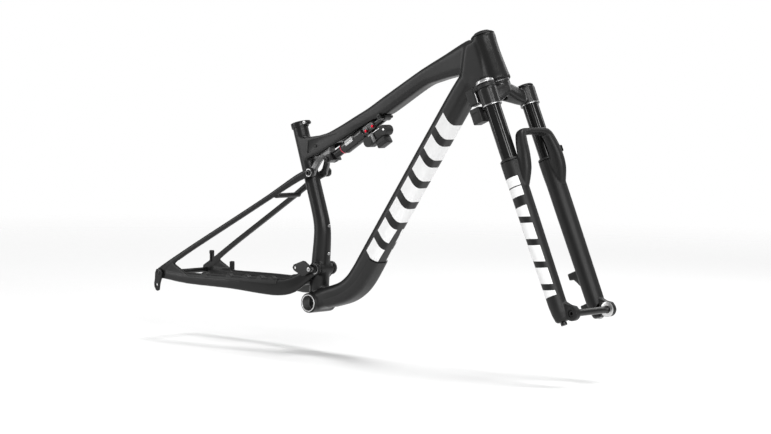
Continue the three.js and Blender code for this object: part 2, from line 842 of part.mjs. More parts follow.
const LEG_Y = STANCHION_SPACING / 2;
const upright = (x, y, low, high, radius, sides = SIDES, topRadius = radius) =>
  rod([x, y, low], [x, y, high], radius, topRadius, sides);
const hollowUpright = (x, y, low, high, outer, inner, sides = SIDES) =>
  cut(upright(x, y, low, high, outer, sides), upright(x, y, low - 1, high + 1, inner, sides));

const STEERER_TOP = HEAD_HIGH + 5;
add(
  "steerer",
  turned(
    [
      [11, -14],
      [19.6, -14],
      [19.6, 8],
      [17, 40],
      [14.3, 66],
      [14.3, STEERER_TOP],
      [11, STEERER_TOP],
    ],
    ROUND,
  ),
  blackAlloy(),
  fork,
);
add("crown_race", sleeve(20, 25.5, GAP, HEAD_LOW - GAP, ROUND), steel(), fork);
add(
  "headset_top_cover",
  sleeve(14.7, 26.6, HEAD_HIGH + GAP, STEERER_TOP - GAP, ROUND),
  plastic(),
  fork,
);
add(
  "steerer_plug",
  turned(
    [
      [0, STEERER_TOP + GAP],
      [19, STEERER_TOP + GAP],
      [17, STEERER_TOP + 4],
      [0, STEERER_TOP + 4],
    ],
    ROUND,
  ),
  blackAlloy(),
  fork,
);

const headset = new THREE.Group();
headset.applyMatrix4(STEERING);
object.add(headset);
add("headset_lower_bearing", sleeve(20.4, 26, 5.6, 12.6, ROUND), steel(), headset);
add(
  "headset_upper_bearing",
  sleeve(14.9, 22, HEAD_HIGH - 8.5, HEAD_HIGH - 1.5, ROUND),
  steel(),
  headset,
);

function crown() {
  const arms = BOTH.flatMap(([, sign]) => [
    rod([2, 0, -17], [LEG_FORWARD - 2, sign * 48, -38], 16, 17, SIDES),
    rod([LEG_FORWARD - 2, sign * 48, -38], [LEG_FORWARD, sign * LEG_Y, -40], 17, 15, SIDES),
    upright(LEG_FORWARD, sign * LEG_Y, -CROWN_DROP, -16, 21.4, ROUND),
  ]);
  const bores = BOTH.map(([, sign]) =>
    upright(LEG_FORWARD, sign * LEG_Y, -CROWN_DROP - 5, 0, STANCHION_RADIUS + GAP, ROUND),
  );
  return cut(
    join(upright(0, 0, -32, 0, 25.5, ROUND), ...arms),
    ...bores,
    upright(0, 0, -14 - GAP, 2, 19.6 + GAP, ROUND),
    upright(0, 0, -60, -13, 10, ROUND),
  );
}
add("crown", crown(), gloss(), fork);

const STANCHION_FOOT = -398;
for (const [side, sign] of BOTH) {
  add(
    `stanchion_${side}`,
    hollowUpright(LEG_FORWARD, sign * LEG_Y, STANCHION_FOOT, -18, STANCHION_RADIUS, 14.5, ROUND),
    gloss(),
    fork,
  );
}
add(
  "fork_top_cap",
  upright(LEG_FORWARD, LEG_Y, -15.6, -11, 20, 24, 18),
  blackAlloy(),
  fork,
);
// Wireless control module on the right leg, with its dial, and a battery behind the leg.
add(
  "fork_control_module",
  join(
    upright(LEG_FORWARD, -LEG_Y, -15.6, 2, 20.5, 24, 19),
    block([LEG_FORWARD - 36, -LEG_Y - 4, -22], [25, 22, 36]),
    block([LEG_FORWARD - 26, -LEG_Y - 2, -9], [30, 20, 10]),
  ),
  plastic(),
  fork,
);
add(
  "fork_battery",
  block([LEG_FORWARD - 36, -LEG_Y - 6, -64], [26, 26, 34]),
  plastic(),
  fork,
);
add(
  "fork_battery_latch",
  block([LEG_FORWARD - 51.3, -LEG_Y - 6, -54], [4, 14, 14]),
  silverAlloy(),
  fork,
);
add(
  "fork_compression_dial",
  upright(LEG_FORWARD, -LEG_Y, 2.4, 8, 12, SIDES),
  silverAlloy(),
  fork,
);

// ---- Fork lowers: one casting of two legs, an arch and the axle's dropouts ----
const AXLE = [FORK_OFFSET, -AXLE_TO_CROWN];
const LEG_FOOT = -AXLE_TO_CROWN + 8;
const ARCH = [
  [LEG_FORWARD + 20, 58, -SEAL_DROP - 24],
  [LEG_FORWARD + 31, 53, -SEAL_DROP + 18],
  [LEG_FORWARD + 30, 45, -SEAL_DROP + 41],
  [LEG_FORWARD + 32, 28, -SEAL_DROP + 54],
  [LEG_FORWARD + 32, 0, -SEAL_DROP + 57],
];
const FRONT_FACE = FRONT_HUB / 2 + GAP;
const FRONT_OUTER = 72;

function lowers() {
  const low = LEG_RADIUS - 1.5;
  const legs = BOTH.flatMap(([, sign]) => [
    upright(LEG_FORWARD, sign * LEG_Y, LEG_FOOT + 20, -SEAL_DROP, low, ROUND, LEG_RADIUS + 1),
    upright(LEG_FORWARD, sign * LEG_Y, LEG_FOOT - 16, LEG_FOOT + 21, LEG_RADIUS - 6, ROUND, low),
    strap(
      [
        [...AXLE, 17],
        [LEG_FORWARD + 2, AXLE[1] + 28, 15],
      ],
      ...spanned([FRONT_FACE, FRONT_OUTER], sign),
    ),
    ...ARCH.slice(1).map((to, i) => {
      const from = ARCH[i];
      return rod([from[0], sign * from[1], from[2]], [to[0], sign * to[1], to[2]], 9.5, 9);
    }),
    ...ARCH.slice(1).map(([x, y, z]) => solid(new THREE.SphereGeometry(9.2, SIDES, 8)
      .translate(x, sign * y, z))),
  ]);
  const brakeMounts = [
    block([LEG_FORWARD - 32, LEG_Y + 5, AXLE[1] + 98], [30, 13, 15]),
    block([LEG_FORWARD - 26, LEG_Y + 5, AXLE[1] + 24], [30, 13, 15]),
  ];
  const bores = BOTH.flatMap(([, sign]) => [
    upright(LEG_FORWARD, sign * LEG_Y, AXLE[1] + 7, -SEAL_DROP + 5, STANCHION_RADIUS + GAP, ROUND),
    upright(LEG_FORWARD, sign * LEG_Y, -SEAL_DROP, -SEAL_DROP + 7, LEG_RADIUS + 1.4, ROUND),
    upright(LEG_FORWARD, sign * LEG_Y, -SEAL_DROP + 6, -90, 20, ROUND),
  ]);
  const hubSpace = barrel(AXLE, 24, -FRONT_FACE, FRONT_FACE);
  return cut(
    join(...legs, ...brakeMounts),
    ...bores,
    hubSpace,
    barrel(AXLE, FRONT_AXLE_RADIUS + GAP, -80, 80),
  );
}
add("fork_lowers", lowers(), magnesium(), fork);

for (const [side, sign] of BOTH) {
  add(
    `wiper_seal_${side}`,
    hollowUpright(LEG_FORWARD, sign * LEG_Y, -SEAL_DROP + GAP, -SEAL_DROP + 6, LEG_RADIUS + 0.6,
      STANCHION_RADIUS + GAP, ROUND),
    rubber(),
    fork,
  );
}
add(
  "front_axle",
  join(
    barrel(AXLE, FRONT_AXLE_RADIUS, -70, 73.5, ROUND),
    barrel(AXLE, 10, 72.4, 76, ROUND),
  ),
  blackAlloy(),
  fork,
);
add(
  "fork_foot_bolt",
  upright(LEG_FORWARD, LEG_Y, LEG_FOOT - 19, LEG_FOOT - 16.3, 6, SIDES),
  steel(),
  fork,
);
add(
  "fork_rebound_dial",
  upright(LEG_FORWARD, -LEG_Y, LEG_FOOT - 24, LEG_FOOT - 16.4, 6.4, 14, 7),
  blackAlloy(),
  fork,
);
add(
  "hose_guide",
  block([LEG_FORWARD + 39, 66, -SEAL_DROP + 12], [9, 9, 14]),
  plastic(),
  fork,
);

export default object;
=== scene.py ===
# %% [markdown]
# # A full-suspension bicycle frame, with its fork and rear shock
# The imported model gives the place, the size and the motion of every piece. This notebook
# gives each piece its looks: moulded carbon skins, turned alloy, cast fork legs, rubber and
# plastic. Everything is in metres, with +X forward, +Y to the rider's left and +Z up, and the
# origin is the centre of the bottom-bracket shell.

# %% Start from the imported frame
import math

import bmesh
import bpy
from mathutils import Matrix, Vector


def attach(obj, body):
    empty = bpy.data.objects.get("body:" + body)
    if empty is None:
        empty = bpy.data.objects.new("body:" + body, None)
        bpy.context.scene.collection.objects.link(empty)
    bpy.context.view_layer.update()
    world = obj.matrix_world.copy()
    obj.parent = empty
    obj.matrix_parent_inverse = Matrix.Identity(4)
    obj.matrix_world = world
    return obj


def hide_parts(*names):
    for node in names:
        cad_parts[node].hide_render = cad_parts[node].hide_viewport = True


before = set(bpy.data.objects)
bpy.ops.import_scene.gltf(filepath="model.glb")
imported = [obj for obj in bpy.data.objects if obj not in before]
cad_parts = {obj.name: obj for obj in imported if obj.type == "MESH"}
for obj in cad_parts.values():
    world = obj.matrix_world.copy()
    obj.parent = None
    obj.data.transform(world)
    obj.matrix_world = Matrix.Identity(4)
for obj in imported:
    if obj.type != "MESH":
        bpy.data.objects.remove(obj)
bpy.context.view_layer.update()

# %% [markdown]
# ## Camera and light
# A long lens from well back, between the side and the front, shows the frame the way a
# catalogue does: the tubes keep their true slopes and the near and far stays stand apart. A
# broad ceiling light gives one soft shadow. A softbox and three strips draw the highlights,
# because dark satin carbon shows its shape only through soft reflections. The room looks white
# but lights the frame gently, so black stays black.

# %% The camera
MM = 0.001
FILM_WIDTH = 36.0
LENS = 120.33
CAMERA_AT = Vector((3.91036, -4.3551, 0.60164))
CAMERA_RIGHT = Vector((0.760126, 0.649603, 0.014965))
CAMERA_UP = Vector((-0.056227, 0.042814, 0.9975))
FURTHEST = 60


def placed(name, data):
    """A new object in the scene for a camera or a light."""
    obj = bpy.data.objects.new(name, data)
    bpy.context.scene.collection.objects.link(obj)
    return obj


def add_camera():
    lens = bpy.data.cameras.new("catalogue_camera")
    lens.sensor_width = FILM_WIDTH
    lens.lens = LENS
    lens.clip_end = FURTHEST
    camera = placed("catalogue_camera", lens)
    back = CAMERA_RIGHT.cross(CAMERA_UP)
    turn = Matrix((CAMERA_RIGHT, CAMERA_UP, back)).transposed()
    camera.matrix_world = Matrix.Translation(CAMERA_AT) @ turn.to_4x4()
    bpy.context.scene.camera = camera
    return camera


camera = add_camera()
print("camera stands", round(camera.location.length, 2), "m from the bottom bracket")


# %% The softbox and the three strips
def new_lamp(name, kind, power):
    light = bpy.data.lights.new(name, kind)
    light.energy = power
    return placed(name, light)


def softbox(name, at, aim, size, watts):
    lamp = new_lamp(name, "AREA", watts)
    lamp.data.shape = "RECTANGLE"
    lamp.data.size, lamp.data.size_y = size
    lamp.location = at
    lamp.rotation_euler = (Vector(aim) - Vector(at)).to_track_quat("-Z", "Y").to_euler()


MIDDLE = (0.2, 0, 0.25)
softbox("side_strip", (-1.9, -2.0, 1.0), MIDDLE, (0.35, 2.0), 20)
softbox("front_strip", (2.9, -0.6, 1.2), MIDDLE, (0.4, 2.0), 30)
softbox("front_softbox", (3.3, -2.4, 1.7), (0.4, 0, 0.35), (1.3, 1.5), 58)
softbox("rim_strip", (0.2, 2.2, 1.4), MIDDLE, (2.6, 0.3), 10)
print("a softbox and three strips")

# %% The ceiling light and the white room
CEILING_WIDTH = math.radians(22)
CEILING_TILT = (math.radians(-10), math.radians(6), 0)
ROOM_LIGHT, ROOM_SEEN = 0.37, 1.0
ceiling = new_lamp("ceiling_light", "SUN", 2.0)
ceiling.data.angle = CEILING_WIDTH
ceiling.rotation_euler = CEILING_TILT
sky = bpy.data.worlds.new("pale_room")
bpy.context.scene.world = sky
sky.use_nodes = True
room = sky.node_tree.nodes["Background"]
room.inputs["Color"].default_value = (1, 1, 1, 1)
seen = sky.node_tree.nodes.new("ShaderNodeLightPath")
level = sky.node_tree.nodes.new("ShaderNodeMapRange")
level.inputs["To Min"].default_value = ROOM_LIGHT
level.inputs["To Max"].default_value = ROOM_SEEN
sky.node_tree.links.new(seen.outputs["Is Camera Ray"], level.inputs["Value"])
sky.node_tree.links.new(level.outputs["Result"], room.inputs["Strength"])
bpy.context.scene.view_settings.view_transform = "Standard"
print("a ceiling light and a white room")


# %% [markdown]
# ## Writing materials as sums
# A material is a small calculation over the surface: a grain, a mask, a mixture of two
# colours. Wiring its nodes one by one hides the sum, so a socket is wrapped in a class whose
# plus, minus and times add the Math nodes. One more method adds any other node.

# %% A socket that can be added and multiplied
class Value:
    def __init__(self, bench, socket):
        self.bench, self.socket = bench, socket

    def sum_with(self, operation, other, swapped=False):
        pair = (other, self) if swapped else (self, other)
        return self.bench.node(
            "ShaderNodeMath", {"operation": operation}, {0: pair[0], 1: pair[1]}
        )

    def __add__(self, other):
        return self.sum_with("ADD", other)

    def __radd__(self, other):
        return self.sum_with("ADD", other, True)

    def __sub__(self, other):
        return self.sum_with("SUBTRACT", other)

    def __rsub__(self, other):
        return self.sum_with("SUBTRACT", other, True)

    def __mul__(self, other):
        return self.sum_with("MULTIPLY", other)

    def __rmul__(self, other):
        return self.sum_with("MULTIPLY", other, True)

    def __truediv__(self, other):
        return self.sum_with("DIVIDE", other)

    def above(self, level):
        return self.sum_with("GREATER_THAN", level)

    def below(self, level):
        return self.sum_with("LESS_THAN", level)

    def between(self, low, high):
        return self.above(low) * self.below(high)

    def size(self):
        return self.sum_with("ABSOLUTE", 0)

    def part(self):
        return self.sum_with("FRACT", 0)


# %% The bench where a material is put together
class Bench:
    def __init__(self, name):
        self.material = bpy.data.materials.new(name)
        self.material.use_nodes = True
        self.tree = self.material.node_tree
        self.tree.nodes.clear()
        self.place = self.node("ShaderNodeTexCoord", out="Object")

    def node(self, kind, settings=None, inputs=None, out=0):
        made = self.tree.nodes.new(kind)
        for key, value in (settings or {}).items():
            setattr(made, key, value)
        for key, value in (inputs or {}).items():
            if isinstance(value, Value):
                self.tree.links.new(value.socket, made.inputs[key])
            else:
                made.inputs[key].default_value = value
        return Value(self, made.outputs[out])

    def along(self, direction, start=(0, 0, 0)):
        """How far a point lies from start along a direction, in metres."""
        moved = self.node(
            "ShaderNodeVectorMath", {"operation": "SUBTRACT"}, {0: self.place, 1: start}
        )
        return self.node(
            "ShaderNodeVectorMath",
            {"operation": "DOT_PRODUCT"},
            {0: moved, 1: direction},
            out="Value",
        )

    def noise(self, scale, detail=3, stretch=(1, 1, 1)):
        placed = self.node("ShaderNodeMapping", None, {"Vector": self.place, "Scale": stretch})
        return self.node(
            "ShaderNodeTexNoise", None, {"Vector": placed, "Scale": scale, "Detail": detail}
        )

    def mix(self, share, first, second):
        return self.node(
            "ShaderNodeMix",
            {"data_type": "RGBA"},
            {"Factor": share, 6: first, 7: second},
            out=2,
        )

    def surface(self, color, roughness, metallic=0, bump=None, depth=0.0001, fixed=None):
        inputs = {"Base Color": color, "Roughness": roughness, "Metallic": metallic}
        inputs.update(fixed or {})
        if bump is not None:
            inputs["Normal"] = self.node(
                "ShaderNodeBump",
                None,
                {"Height": bump, "Strength": 0.6, "Distance": depth},
            )
        shader = self.node("ShaderNodeBsdfPrincipled", None, inputs)
        output = self.tree.nodes.new("ShaderNodeOutputMaterial")
        self.tree.links.new(shader.socket, output.inputs["Surface"])
        return self.material


print("materials are written as sums from here on")


# %% [markdown]
# ## The finishes
# Every finish has two scales of change: a broad, faint drift in colour and sheen, and a fine
# grain in the bump. Carbon paint has a soft clear coat, castings are pebbled, alloy is drawn
# along one direction, and rubber is dry and rough.

# %% One recipe for most finishes
EVEN = (1, 1, 1)


def shade(grey):
    return (grey, grey, grey, 1)


def finish(name, color, roughness, metallic=0, grain=900, stretch=EVEN, depth=5e-5, fixed=None):
    bench = Bench(name)
    broad = bench.noise(9, 2)
    fine = bench.noise(grain, 4, stretch)
    darker = tuple(c * 0.8 for c in color[:3]) + (1,)
    lighter = tuple(min(1, c * 1.25 + 0.002) for c in color[:3]) + (1,)
    tone = bench.mix(broad * 0.7 + fine * 0.3, darker, lighter)
    sheen = roughness + (broad - 0.5) * 0.12 + (fine - 0.5) * 0.1
    return bench.surface(tone, sheen, metallic, fine, depth, fixed)


DULL = {"Specular IOR Level": 0.3}
FINISHES = {
    "black_alloy": finish("black_anodised_alloy", shade(0.022), 0.3, 0.75, 2200),
    "grey_alloy": finish("grey_anodised_alloy", shade(0.15), 0.36, 0.85, 1800),
    "steel": finish("machined_steel", shade(0.42), 0.3, 1, 1500, (1, 6, 1)),
    "silver_alloy": finish("satin_silver_alloy", shade(0.62), 0.34, 1, 1200, (1, 8, 1)),
    "red_alloy": finish("red_anodised_alloy", (0.5, 0.012, 0.03, 1), 0.28, 0.9, 1800),
    "rubber": finish("dry_black_rubber", shade(0.013), 0.42, 0, 1400, EVEN, 0.0002, DULL),
    "plastic": finish("fine_moulded_plastic", shade(0.013), 0.45, 0, 2600, EVEN, 0.0001, DULL),
    "gloss_black": finish("gloss_black_coating", shade(0.008), 0.12, 0.2, 600, depth=0.00001),
    "red_rubber": finish("red_travel_ring", (0.5, 0.02, 0.06, 1), 0.5, 0, 900),
}
print(len(FINISHES), "plain finishes")


# %% Satin carbon, with plain white bars on the down tube
BAR_START = (0.176, 0, 0.114)
BAR_SLOPE = (0.563, 0, 0.826)
BAR_ACROSS = (-0.826, 0, 0.563)
BAR_RUN, BAR_HALF_WIDTH, BAR_STEP, BAR_SHARE = 0.393, 0.0165, 0.057, 0.66
SLANT = 0.35
WHITE = shade(0.82)
SATIN_COAT = {"Coat Weight": 0.08, "Coat Roughness": 0.25, "Specular IOR Level": 0.25}


def carbon(name, bars=False):
    bench = Bench(name)
    broad = bench.noise(7, 2)
    fine = bench.noise(2400, 3)
    tone = bench.mix(broad, shade(0.006), shade(0.011))
    sheen = 0.36 + (broad - 0.5) * 0.14 + (fine - 0.5) * 0.08
    if bars:
        up = bench.along(BAR_SLOPE, BAR_START)
        across = bench.along(BAR_ACROSS, BAR_START)
        step = (up - across * SLANT) / BAR_STEP
        inside = up.between(0.0, BAR_RUN) * (across - 0.002).size().below(BAR_HALF_WIDTH)
        mask = inside * step.part().below(BAR_SHARE)
        tone = bench.mix(mask, tone, WHITE)
    return bench.surface(tone, sheen, 0, fine, 0.00003, SATIN_COAT)


FINISHES["carbon"] = carbon("satin_carbon")
FINISHES["barred_carbon"] = carbon("satin_carbon_with_bars", True)
print("carbon is", FINISHES["carbon"].name)


# %% [markdown]
# ## Tools for making shapes
# Four kinds of start cover the whole frame. A limb is a square bar with rounded corners, drawn
# out ring by ring along a tube's path. A turned piece is a circle of edges, extruded from point
# to point of its profile, as a lathe would cut it. A slab is a flat outline, extruded and
# bevelled, and a block is a box with its edges bevelled.

# %% Selecting and finishing
def fresh():
    """Leaves edit mode and drops the selection."""
    if bpy.context.object and bpy.context.object.mode != "OBJECT":
        bpy.ops.object.mode_set(mode="OBJECT")
    bpy.ops.object.select_all(action="DESELECT")


def pick(obj):
    """Makes this the one selected and active object."""
    fresh()
    obj.select_set(True)
    bpy.context.view_layer.objects.active = obj


def choose(obj, wanted):
    """In edit mode, selects just the vertices that pass the test."""
    mesh = bmesh.from_edit_mesh(obj.data)
    for face in mesh.faces:
        face.select_set(False)
    for vertex in mesh.verts:
        vertex.select_set(wanted(vertex))
    mesh.select_flush_mode()
    mesh.select_flush(True)
    bmesh.update_edit_mesh(obj.data)


def edit(obj):
    pick(obj)
    bpy.ops.object.mode_set(mode="EDIT")
    bpy.ops.mesh.select_mode(type="VERT")


def opened(name):
    """Names the object that was just added and opens it for editing."""
    obj = bpy.context.object
    obj.name = name
    edit(obj)
    return obj


def modify(obj, kind, **settings):
    """Adds a modifier with these settings and applies it."""
    pick(obj)
    modifier = obj.modifiers.new(kind.lower(), kind)
    for key, value in settings.items():
        setattr(modifier, key, value)
    bpy.ops.object.modifier_apply(modifier=modifier.name)
    return obj


def merged(first, *others):
    """Several objects as one mesh."""
    fresh()
    for obj in (first, *others):
        obj.select_set(True)
    bpy.context.view_layer.objects.active = first
    if others:
        bpy.ops.object.join()
    return first


def carve(obj, *tools, operation="DIFFERENCE"):
    """Cuts the tools out of the object, or joins them on, and throws them away."""
    for tool in tools:
        modify(obj, "BOOLEAN", operation=operation, object=tool, solver="EXACT")
        bpy.data.objects.remove(tool)
    return obj


def weld(obj, *pieces):
    return carve(obj, *pieces, operation="UNION")


print("selection tools are ready")


# %% Local frames of the fork and the shock
HEAD_ANGLE = math.radians(66)
REAR_AXLE = (-math.sqrt(435**2 - 40**2), 40)
FRONT_AXLE = (REAR_AXLE[0] + 1198, 40)
AXLE_TO_CROWN, FORK_OFFSET = 532, 44
STEER_UP = (-math.cos(HEAD_ANGLE), math.sin(HEAD_ANGLE))
STEER_FORWARD = (math.sin(HEAD_ANGLE), math.cos(HEAD_ANGLE))
CROWN_RACE = [
    FRONT_AXLE[i] - FORK_OFFSET * STEER_FORWARD[i] + AXLE_TO_CROWN * STEER_UP[i] for i in (0, 1)
]
SHOCK_EYE, CLEVIS = (192, 429), (31, 328)
SHOCK_TILT = math.atan2(SHOCK_EYE[1] - CLEVIS[1], SHOCK_EYE[0] - CLEVIS[0])
SHOCK_LENGTH = math.hypot(SHOCK_EYE[0] - CLEVIS[0], SHOCK_EYE[1] - CLEVIS[1])


def local_frame(origin, tilt):
    at = Vector((origin[0], 0, origin[1])) * MM
    return Matrix.Translation(at) @ Matrix.Rotation(tilt, 4, "Y")


FORK = local_frame(CROWN_RACE, HEAD_ANGLE - math.pi / 2)
SHOCK = local_frame(SHOCK_EYE, -SHOCK_TILT)
WORLD = Matrix.Identity(4)
ACROSS = Matrix.Rotation(-math.pi / 2, 4, "X")
FORWARD = Matrix.Rotation(math.pi / 2, 4, "Y")
ON_SHOCK = SHOCK @ FORWARD


def settle(obj, place):
    """Moves a piece by a matrix and leaves its object at the origin, unturned."""
    pick(obj)
    obj.matrix_world = place @ obj.matrix_world
    bpy.ops.object.transform_apply(location=True, rotation=True, scale=True)
    return obj


def at(x, y, z, turn=WORLD, place=WORLD):
    return place @ Matrix.Translation(Vector((x, y, z)) * MM) @ turn


def across_at(x, z, place=WORLD, flip=WORLD):
    """A place whose own Z runs across the frame."""
    return at(x, 0, z, flip @ ACROSS, place)


print("the fork's frame starts at", [round(c) for c in CROWN_RACE])


# %% Drawing out a limb
def catmull(values, t):
    """A smooth value through a list of numbers, at a place counted in spans."""
    last = len(values) - 1
    i = min(int(t), last - 1)
    u = t - i
    a, b, c, d = (values[max(0, min(last, i + k))] for k in (-1, 0, 1, 2))
    return 0.5 * (
        2 * b + (c - a) * u + (2 * a - 5 * b + 4 * c - d) * u * u + (3 * b - a - 3 * c + d) * u**3
    )


TURN_SIGN = -1  # the turn tool counts the other way round the Y axis
CORNER_STEPS = 6


def limb(name, stations, corner=0.7, steps=4, place=WORLD):
    """Stations are (x, y, z, half width across, half height), in millimetres."""
    columns = list(zip(*stations))
    count = (len(stations) - 1) * steps + 1
    rings = [[catmull(c, k / steps) * MM for c in columns] for k in range(count)]
    fresh()
    bpy.ops.mesh.primitive_cube_add(size=2)
    obj = opened(name)
    bpy.ops.mesh.select_mode(type="EDGE")
    bpy.ops.mesh.select_all(action="DESELECT")
    mesh = bmesh.from_edit_mesh(obj.data)
    for e in mesh.edges:
        if abs(e.verts[0].co.z - e.verts[1].co.z) > 1:
            e.select_set(True)
    bmesh.update_edit_mesh(obj.data)
    bpy.ops.mesh.bevel(offset=corner, segments=CORNER_STEPS, affect="EDGES")
    bpy.ops.mesh.select_mode(type="VERT")
    choose(obj, lambda v: v.co.z > 0)
    for _ in range(count - 2):
        bpy.ops.mesh.extrude_region_move(TRANSFORM_OT_translate={"value": (0, 0, 2)})
    mesh = bmesh.from_edit_mesh(obj.data)
    levels = [set() for _ in rings]
    for v in mesh.verts:
        levels[round((v.co.z + 1) / 2)].add(v.index)
    for k, (x, y, z, wide, high) in enumerate(rings):
        a, b = rings[max(0, k - 1)], rings[min(count - 1, k + 1)]
        pitch = math.atan2(b[0] - a[0], b[2] - a[2])
        here = (0, 0, 2 * k - 1)
        choose(obj, lambda v: v.index in levels[k])
        bpy.ops.transform.resize(value=(high, wide, 1), center_override=here)
        bpy.ops.transform.rotate(
            value=TURN_SIGN * pitch, orient_axis="Y", center_override=here, orient_type="GLOBAL"
        )
        bpy.ops.transform.translate(value=(x, y, z - here[2]))
    return settle(obj, place)


def mirrored(half):
    """The stations of one half, from its end to the middle, and then those of the other."""
    return half + [(-x, y, z, wide, high) for x, y, z, wide, high in reversed(half[:-1])]


print("limbs can be drawn out")


# %% Turning a piece on a lathe
TINY = 1e-5


def turned(name, profile, place=WORLD, sides=40, corner=0.0):
    """A profile of (radius, height) points in millimetres, turned about Z. It starts and ends
    on the axis, or closes on itself as a ring."""
    points = [(max(r * MM, TINY), z * MM) for r, z in profile]
    fresh()
    bpy.ops.mesh.primitive_circle_add(
        vertices=sides, radius=points[0][0], fill_type="NOTHING", location=(0, 0, points[0][1])
    )
    settle(bpy.context.object, WORLD)
    obj = opened(name)
    bpy.ops.mesh.select_all(action="SELECT")
    closed = profile[0] != profile[-1] and profile[0][0] > 0
    for (r0, z0), (r1, z1) in zip(points, points[1:] + ([points[0]] if closed else [])):
        bpy.ops.mesh.extrude_edges_move(TRANSFORM_OT_translate={"value": (0, 0, z1 - z0)})
        bpy.ops.transform.resize(value=(r1 / r0, r1 / r0, 1), center_override=(0, 0, z1))
    bpy.ops.mesh.select_all(action="SELECT")
    bpy.ops.mesh.remove_doubles(threshold=4 * TINY)
    bpy.ops.mesh.normals_make_consistent(inside=False)
    if corner:
        modify(obj, "BEVEL", width=corner * MM, segments=2, limit_method="ANGLE", angle_limit=0.6)
    return settle(obj, place)


def rod(name, radius, low, high, place=WORLD, sides=40):
    """A plain cylinder along the place's own Z."""
    return turned(name, [(0, low), (radius, low), (radius, high), (0, high)], place, sides)


def ring(name, inner, outer, low, high, place, sides=36, corner=0.5):
    profile = [(inner, low), (outer, low), (outer, high), (inner, high)]
    return turned(name, profile, place, sides, corner)


def barrel(name, x, z, radius, low, high, place=WORLD):
    """A plain cylinder across the frame, from y = low to y = high."""
    return rod(name, radius, low, high, across_at(x, z, place))


print("pieces can be turned")


# %% Cutting out slabs and blocks
def slab(name, outline, low, high, corner=1.0, place=WORLD):
    """An outline of (x, z) points in millimetres, from y = low to y = high."""
    fresh()
    bpy.ops.mesh.primitive_circle_add(vertices=len(outline), radius=1, fill_type="NGON")
    obj = opened(name)
    mesh = bmesh.from_edit_mesh(obj.data)
    for vertex, (x, z) in zip(mesh.verts, outline):
        vertex.co = Vector((x, low, z)) * MM
    bmesh.update_edit_mesh(obj.data)
    bpy.ops.mesh.select_all(action="SELECT")
    bpy.ops.mesh.extrude_region_move(TRANSFORM_OT_translate={"value": (0, (high - low) * MM, 0)})
    bpy.ops.mesh.select_all(action="SELECT")
    bpy.ops.mesh.normals_make_consistent(inside=False)
    if corner:
        modify(obj, "BEVEL", width=corner * MM, segments=3, limit_method="ANGLE", angle_limit=0.5)
    return settle(obj, place)


def block(name, centre, size, corner=1.0, place=WORLD):
    fresh()
    bpy.ops.mesh.primitive_cube_add(size=1)
    obj = opened(name)
    bpy.ops.mesh.select_all(action="SELECT")
    bpy.ops.transform.resize(value=[s * MM for s in size], center_override=(0, 0, 0))
    if corner:
        bpy.ops.mesh.bevel(offset=corner * MM, segments=3, affect="EDGES")
    return settle(obj, at(*centre, WORLD, place))


# %% Fusing a skin and finishing a piece
SMOOTH_BELOW = math.radians(35)
SIDES = ((-1, "right"), (1, "left"))


def skin(parts, voxel, rounds):
    """Fuses overlapping solids into one moulded skin and softens where they meet."""
    obj = merged(*parts)
    modify(obj, "REMESH", mode="VOXEL", voxel_size=voxel * MM, use_smooth_shade=True)
    modify(obj, "SMOOTH", factor=0.5, iterations=rounds)
    return obj


def present(obj, name, body, slot, *nodes, look=None):
    """Finishes a piece: its name, its paint, soft shading, and the nodes it stands for."""
    obj.name = name
    obj.data.name = name
    obj.data.materials.clear()
    obj.data.materials.append(FINISHES[look or slot])
    pick(obj)
    bpy.ops.object.shade_smooth_by_angle(angle=SMOOTH_BELOW)
    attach(obj, body)
    if nodes:
        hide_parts(*nodes)
    print(name, "has", len(obj.data.polygons), "faces")
    return obj


print("limbs, turned pieces, slabs and blocks can be made")


# %% [markdown]
# ## The front triangle
# On the real frame the head tube, top tube, down tube, seat tube and bottom-bracket shell come
# out of one mould, and every meeting is a smooth fillet. Separate tubes would show hard seams
# where they cross. So the tubes are drawn out as limbs, fused into one skin by a voxel remesh,
# softened, and only then bored: the bores, slots and pockets stay crisp, as machined ones are.

# %% Tubes of the front triangle
BB_RADIUS, BB_HALF, BB_INSIDE, INSERT_OUTER, INSERT_LENGTH = 23, 36.5, 18.4, 19.6, 24
MAIN_PIVOT, STAY_PIVOT, ROCKER_PIVOT = (12, 78), (-6, 296), (24, 358)
SEAT_LEAN, SEAT_TOP, SEAT_RADIUS, POST_BORE = 0.3318, 406, 17.6, 15.45


def seat_x(z):
    return 9 - (z - 178) * SEAT_LEAN


DOWN_TUBE = [
    (4, 0, 4, 30, 22), (40, 0, 16, 32, 22.5), (84, 0, 30, 30, 23.5), (114, 0, 49, 28.5, 25),
    (137, 0, 75, 27.5, 26), (165, 0, 117, 26.5, 26), (241, 0, 230, 26, 26),
    (352, 0, 393, 26, 26), (430, 0, 505, 27, 25), (474, 0, 552, 24, 22),
]
TOP_TUBE = [
    (30, 0, 378, 16, 8), (80, 0, 397, 17.5, 12), (120, 0, 415, 19, 14), (160, 0, 433, 20, 16),
    (203, 0, 455, 21, 19), (300, 0, 512, 21, 18.5), (340, 0, 530, 21.5, 21.5),
    (380, 0, 545, 22.5, 26), (440, 0, 566, 24.5, 35), (464, 0, 573, 23, 34),
]
SEAT_TUBE = [
    (0, 0, 0, 22, 22), (1.5, 0, 44, 23, 22), (5.5, 0, 97, 21.5, 21), (8.5, 0, 140, 20, 20),
    (8, 0, 172, 19, 19), (seat_x(205), 0, 205, 18.2, 18), (seat_x(260), 0, 260, 17.6, 17.6),
    (seat_x(330), 0, 330, SEAT_RADIUS, SEAT_RADIUS),
    (seat_x(SEAT_TOP), 0, SEAT_TOP, SEAT_RADIUS, SEAT_RADIUS),
]
